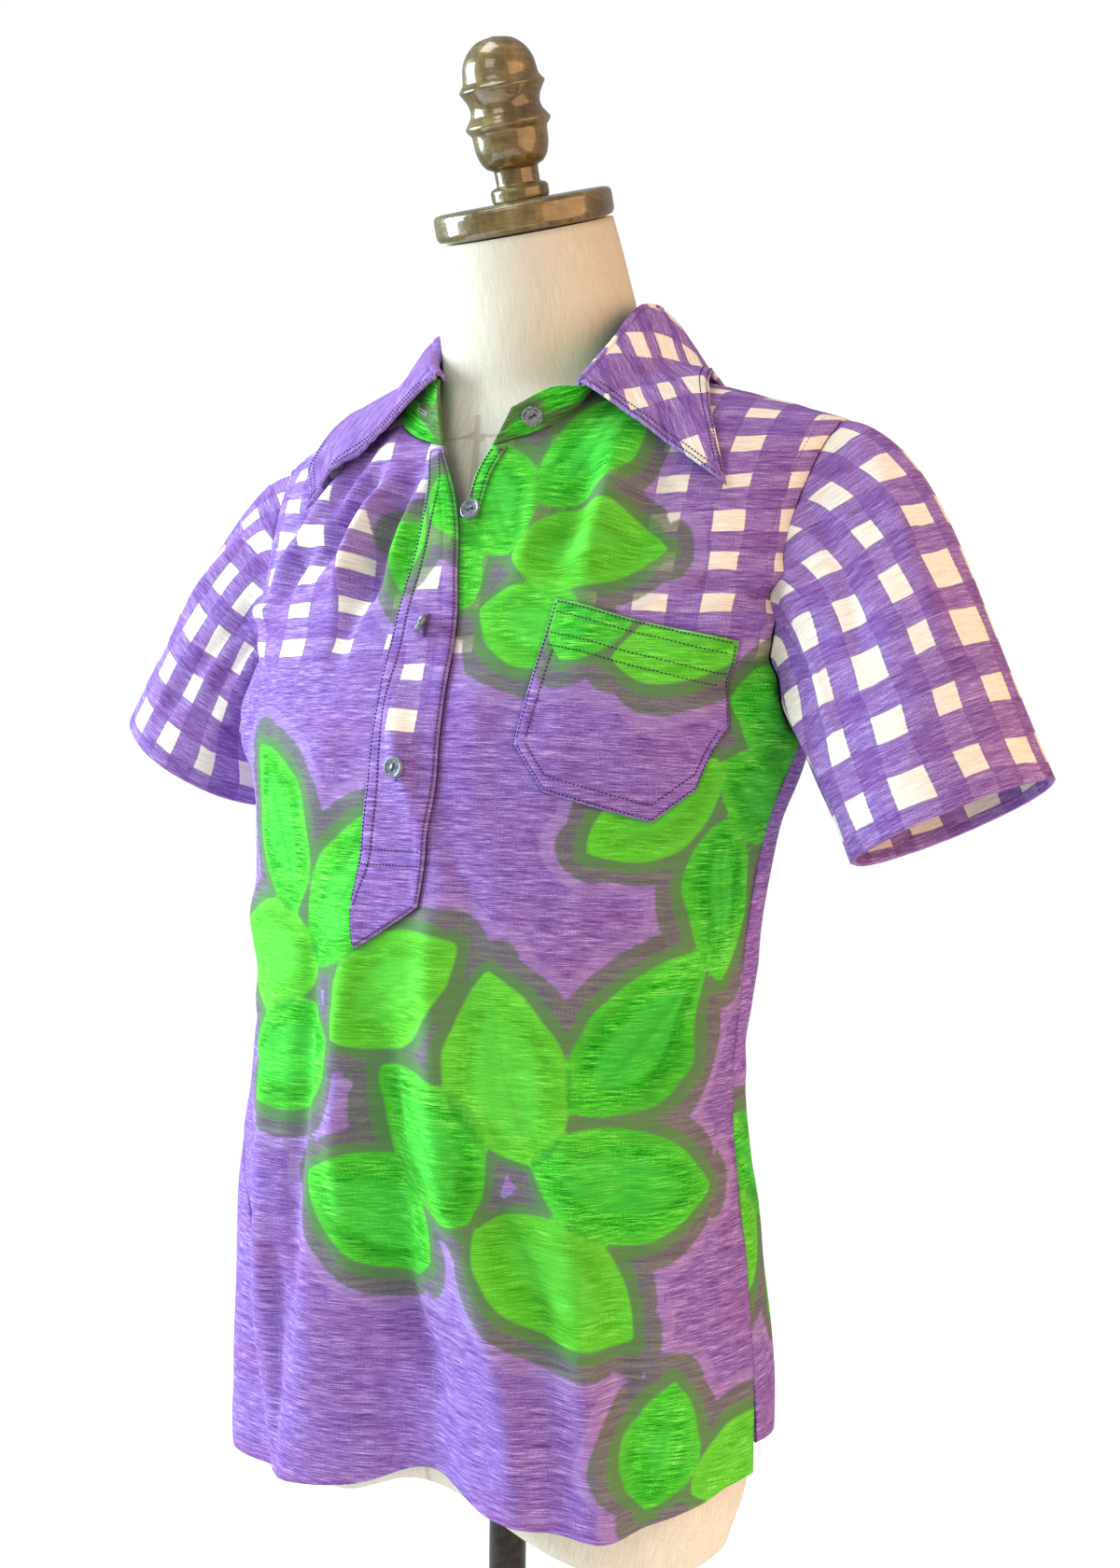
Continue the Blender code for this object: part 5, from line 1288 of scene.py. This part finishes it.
def formSurface():
    z = np.linspace(form["height"][0], form["height"][-1], 190)
    wide, front, back, mid = (smooth(z, form["height"], form[k]) for k in ("wide", "front", "back", "mid"))
    angle = np.linspace(0, 2 * math.pi, form["around"], endpoint=False)[:, None]
    s, c = np.sin(angle), np.cos(angle)
    x = wide * np.sign(s) * np.abs(s) ** 0.92
    deep = np.where(c >= 0, -front, back) * np.abs(c) ** 0.92
    lean = fade(z, 0.86, z[-1]) * math.tan(form["tilt"])
    points = np.stack([x, mid + deep, z + lean * deep], -1)
    foot = points[:, 0].copy()
    size = np.linspace(0, 0.965, 26)
    drop = smooth(size, *form["foot"])
    rings = []
    for share, fall in zip(size, drop):
        ring = foot * np.array([share, share, 1])
        middle = np.exp(-((ring[:, 0] / form["archWidth"]) ** 2))
        inside = 1 - np.abs(ring[:, 1]) / 0.16
        ring[:, 2] = foot[:, 2] - fall + form["arch"] * middle * inside * (1 - 0.25 * share)
        ring[:, 2] -= form["slope"] * ring[:, 0]
        rings.append(ring)
    step = (form["height"][-1] - form["height"][0]) / 25
    middle = np.exp(-((foot[:, :1] / form["archWidth"]) ** 2))
    rise = middle * form["arch"] * 0.45 - form["slope"] * foot[:, :1]
    level = (z - z[0])[None] / step
    points[..., 2] += rise * smooth(level, (0.0, 1.0, 2.0, 3.0), (1.0, 0.6, 0.25, 0.0))
    crown = points[:, -1]
    cap = [crown * (1 - k) + crown.mean(0) * k for k in (0.4, 1.0)]
    return np.concatenate([np.stack(rings, 1), points, np.stack(cap, 1)], 1), angle[:, 0]


def seamDistance(points, angle):     # how far each point is from the nearest seam of the linen
    y, z = points[..., 1], points[..., 2]
    radius = np.linalg.norm(points[..., :2], axis=2)
    turns = [np.abs((angle[:, None] - k + math.pi) % (2 * math.pi) - math.pi) for k in form["seams"]]
    sides = np.min(turns, axis=0) * radius + 0.01 * fade(z, 0.826, 0.830)
    neck = np.abs(z - form["neckSeam"] - form["neckSeamLean"] * (y - form["neckSeamMid"]))
    return np.minimum(sides, np.minimum(neck, np.abs(z - form["waistSeam"])))


formPoints, formAngle = formSurface()
formRun = distances(formPoints, 1)
formRun = np.concatenate([formRun, formRun[:1]])
formGirth = (np.arange(form["around"] + 1) / form["around"] * form["girth"])[:, None]
gridMesh("formTorso", formPoints, linenMaterial(),
         np.stack([np.broadcast_to(formGirth, formRun.shape), formRun], -1),
         dict(seam=seamDistance(formPoints, formAngle)), closed=True, slot="linen",
         replaces=("form_torso",))
print("form")


# turned wood and the stand
def lacquerMaterial():
    mat, tree, shader = newMaterial("agedLacquer", {"Coat Weight": 1.0, "Coat Roughness": 0.07,
                                                    "Coat IOR": 1.6,
                                                    "Metallic": 0.15, "Roughness": 0.34})
    where = spacePlace(tree)
    blot, pits = solidNoise(tree, where, 34.0, 3.0), solidNoise(tree, where, 260.0, 3.0)
    rings, runs = (solidNoise(tree, stretched(tree, where, scales), 1.0)
                   for scales in ((110.0, 110.0, 700.0), (240.0, 240.0, 12.0)))
    tone = blot * 0.55 + rings * 0.2 + runs * 0.25
    colour = ramp(tree, tone, (0.34, tint(66, 50, 20)), (0.47, tint(102, 84, 40)),
                  (0.57, tint(132, 116, 66)), (0.68, tint(168, 156, 110)))
    finishMaterial(tree, shader, colour, pits + rings * 0.4, 0.35, 0.0006)
    return mat


def ironMaterial():
    mat, tree, shader = newMaterial("darkIron", {"Metallic": 0.5, "Specular IOR Level": 0.5})
    speck = solidNoise(tree, spacePlace(tree), 240.0, 4.0)
    tree.links.new((speck * 0.3 + 0.25).socket, shader.inputs["Roughness"])
    colour = ramp(tree, speck, (0.35, tint(22, 18, 16)), (0.65, tint(52, 44, 40)))
    finishMaterial(tree, shader, colour, speck, 0.2, 0.0002)
    return mat


lacquer, iron = lacquerMaterial(), ironMaterial()


def turnedPiece(name, radius, height, mat, slot, node, at=(0, 0, 0), tilt=0.0, segments=96, count=120,
                crisp=False):
    # a profile turned about its axis, kept angular when crisp; its ends lie on the axis, so it is closed
    radius, height = np.array(radius, float), np.array(height, float)
    if crisp:
        run = np.concatenate([[0], np.cumsum(np.hypot(np.diff(radius), np.diff(height)))])
        dense = np.sort(np.concatenate([run, np.linspace(0, run[-1], count)]))
        dense = dense[np.concatenate([[True], np.diff(dense) > 1e-5])]
        r, h = np.interp(dense, run, radius), np.interp(dense, run, height)
    else:
        line = along(np.stack([radius, height], 1), count)
        r, h = line[:, 0], line[:, 1]
    r[0] = r[-1] = 0
    angle = np.linspace(0, 2 * math.pi, segments, endpoint=False)[:, None]
    c, s = math.cos(tilt), math.sin(tilt)
    y, z = r[None] * np.sin(angle), h[None] + 0 * angle
    points = np.stack([r[None] * np.cos(angle) + at[0], c * y - s * z + at[1], s * y + c * z + at[2]], -1)
    thing = gridMesh(name, points, mat, closed=True, slot=slot, replaces=(node,))
    if crisp:
        thing.data.set_sharp_from_angle(angle=math.radians(35))
    return thing


capAt, capTilt = (0.0008, 0.002, 0.9328), form["tilt"]
capRadius = (0, 0.030, 0.0455, 0.0487, 0.0498, 0.0500, 0.0500, 0.0498, 0.0490, 0.0478, 0.0450, 0.020, 0)
capHeight = (0, 0, 0, 0.0012, 0.0030, 0.0045, 0.0117, 0.0132, 0.0146, 0.0153, 0.0157, 0.0158, 0.0158)
turnedPiece("neckCap", capRadius, capHeight, lacquer, "lacquer", "neck_cap", capAt, capTilt, crisp=True)
knobFoot = 0.0160         # the knob stands on the cap's top
knobRadius = (0, 0.0150, 0.0160, 0.0161, 0.0148, 0.0121, 0.0122, 0.0160, 0.0188,
              0.0203, 0.0209, 0.0226, 0.0235, 0.0222, 0.0198, 0.0192, 0.0198, 0.0222,
              0.0236, 0.0222, 0.0209, 0.0199, 0.0180, 0.0146, 0.0090, 0)
knobHeight = (0, 0, 0.0018, 0.0058, 0.0077, 0.0090, 0.0165, 0.0190, 0.0232,
              0.0289, 0.0366, 0.0387, 0.0406, 0.0428, 0.0466, 0.0495, 0.0526, 0.0572,
              0.0597, 0.0617, 0.0640, 0.0707, 0.0756, 0.0801, 0.0839, 0.0857)
turnedPiece("finialKnob", knobRadius, [knobFoot + k for k in knobHeight], lacquer, "lacquer", "finial",
            capAt, capTilt, count=220)
baseRadius = (0, 0.149, 0.150, 0.150, 0.1485, 0.144, 0.060, 0.040, 0.032, 0.030, 0.029, 0)
baseHeight = (0, 0, 0.001, 0.007, 0.0095, 0.0132, 0.0180, 0.0192, 0.0205, 0.0215, 0.022, 0.022)
turnedPiece("standBase", baseRadius, baseHeight, iron, "dark_iron", "base", crisp=True)
turnedPiece("standPole", (0, 0.0105, 0.0105, 0), (0.0223, 0.0223, 0.2845, 0.2845), iron, "dark_iron",
            "pole", crisp=True, segments=48)
print("stand")


# floor, light and camera
def stageFloor():
    mat, tree, shader = newMaterial("paleFloor", {"Roughness": 0.9, "Emission Color": (1, 1, 1, 1),
                                                  "Emission Strength": 0.30})
    mottle = solidNoise(tree, spacePlace(tree), 2.0)
    colour = mixColour(tree, mottle, tint(240, 240, 240), tint(248, 248, 248))
    tree.links.new(colour.socket, shader.inputs["Base Color"])
    corners = [(x, y, -0.0005) for x, y in ((-1, -1), (1, -1), (1, 1), (-1, 1))]
    floor = meshObject("floor", corners, [(0, 1, 2, 3)], mat)


def areaLight(name, at, aim, size, power, colour):
    data = bpy.data.lights.new(name, "AREA")
    data.shape, data.size, data.energy, data.color = "SQUARE", size, power, colour
    lamp = bpy.data.objects.new(name, data)
    way = unit(np.array(aim, float) - np.array(at, float))
    lamp.location = at
    lamp.rotation_euler = (math.acos(-way[2]), 0, math.atan2(way[1], way[0]) - math.pi / 2)
    bpy.context.scene.collection.objects.link(lamp)


# place, aim, size, watts and colour
lights = dict(
    windowSide=((-1.9, -0.85, 1.2), (0, 0, 0.6), 1.4, 86, (0.74, 0.92, 1.0)),
    roomSide=((1.5, -0.1, 0.80), (0, 0, 0.6), 1.6, 21, (1.0, 0.55, 0.27)),
    front=((0.2, -2.4, 1.6), (0, 0, 0.7), 1.2, 12, (1.0, 0.98, 0.94)),
    overhead=((-0.3, -0.6, 2.3), (0, 0, 0.6), 0.8, 10, (1.0, 1.0, 1.0)),
)
stageFloor()
for name, settings in lights.items():
    areaLight(name, *settings)
world = bpy.data.worlds.new("studio")
world.use_nodes = True
sky = world.node_tree.nodes["Background"]
sky.inputs[0].default_value = (1, 1, 1, 1)
sight = addNode(world.node_tree, "ShaderNodeLightPath", {}, {}, 0)
# white to the eye, softer as light
world.node_tree.links.new((sight * 0.69 + 0.33).socket, sky.inputs[1])
bpy.context.scene.world = world
bpy.context.scene.view_settings.view_transform = "Standard"

# degrees and metres; the focal length is in pixels of a picture 1680 high
view = dict(bearing=34.6, distance=1.044, height=0.655, yaw=-1.33, pitch=1.63, roll=0.72, focal=2000.0,
            pictureHeight=1680, sensor=36)


def photoCamera():        # stands round the form at a bearing, and looks a little past its axis
    th, pitch, roll = (math.radians(view[k]) for k in ("bearing", "pitch", "roll"))
    h = th + math.radians(view["yaw"])
    place = (view["distance"] * math.sin(th), -view["distance"] * math.cos(th), view["height"])
    ahead = np.array([-math.sin(h) * math.cos(pitch), math.cos(h) * math.cos(pitch), -math.sin(pitch)])
    level = np.array([math.cos(h), math.sin(h), 0.0])
    over = np.cross(level, ahead)
    right = math.cos(roll) * level + math.sin(roll) * over
    up = -math.sin(roll) * level + math.cos(roll) * over
    data = bpy.data.cameras.new("photo")
    data.lens = view["focal"] / view["pictureHeight"] * view["sensor"]
    data.sensor_width, data.sensor_fit = view["sensor"], "AUTO"
    camera = bpy.data.objects.new("photo", data)
    camera.matrix_world = Matrix([(right[k], up[k], -ahead[k], place[k]) for k in range(3)]
                                 + [(0, 0, 0, 1)])
    bpy.context.scene.collection.objects.link(camera)
    bpy.context.scene.camera = camera


photoCamera()
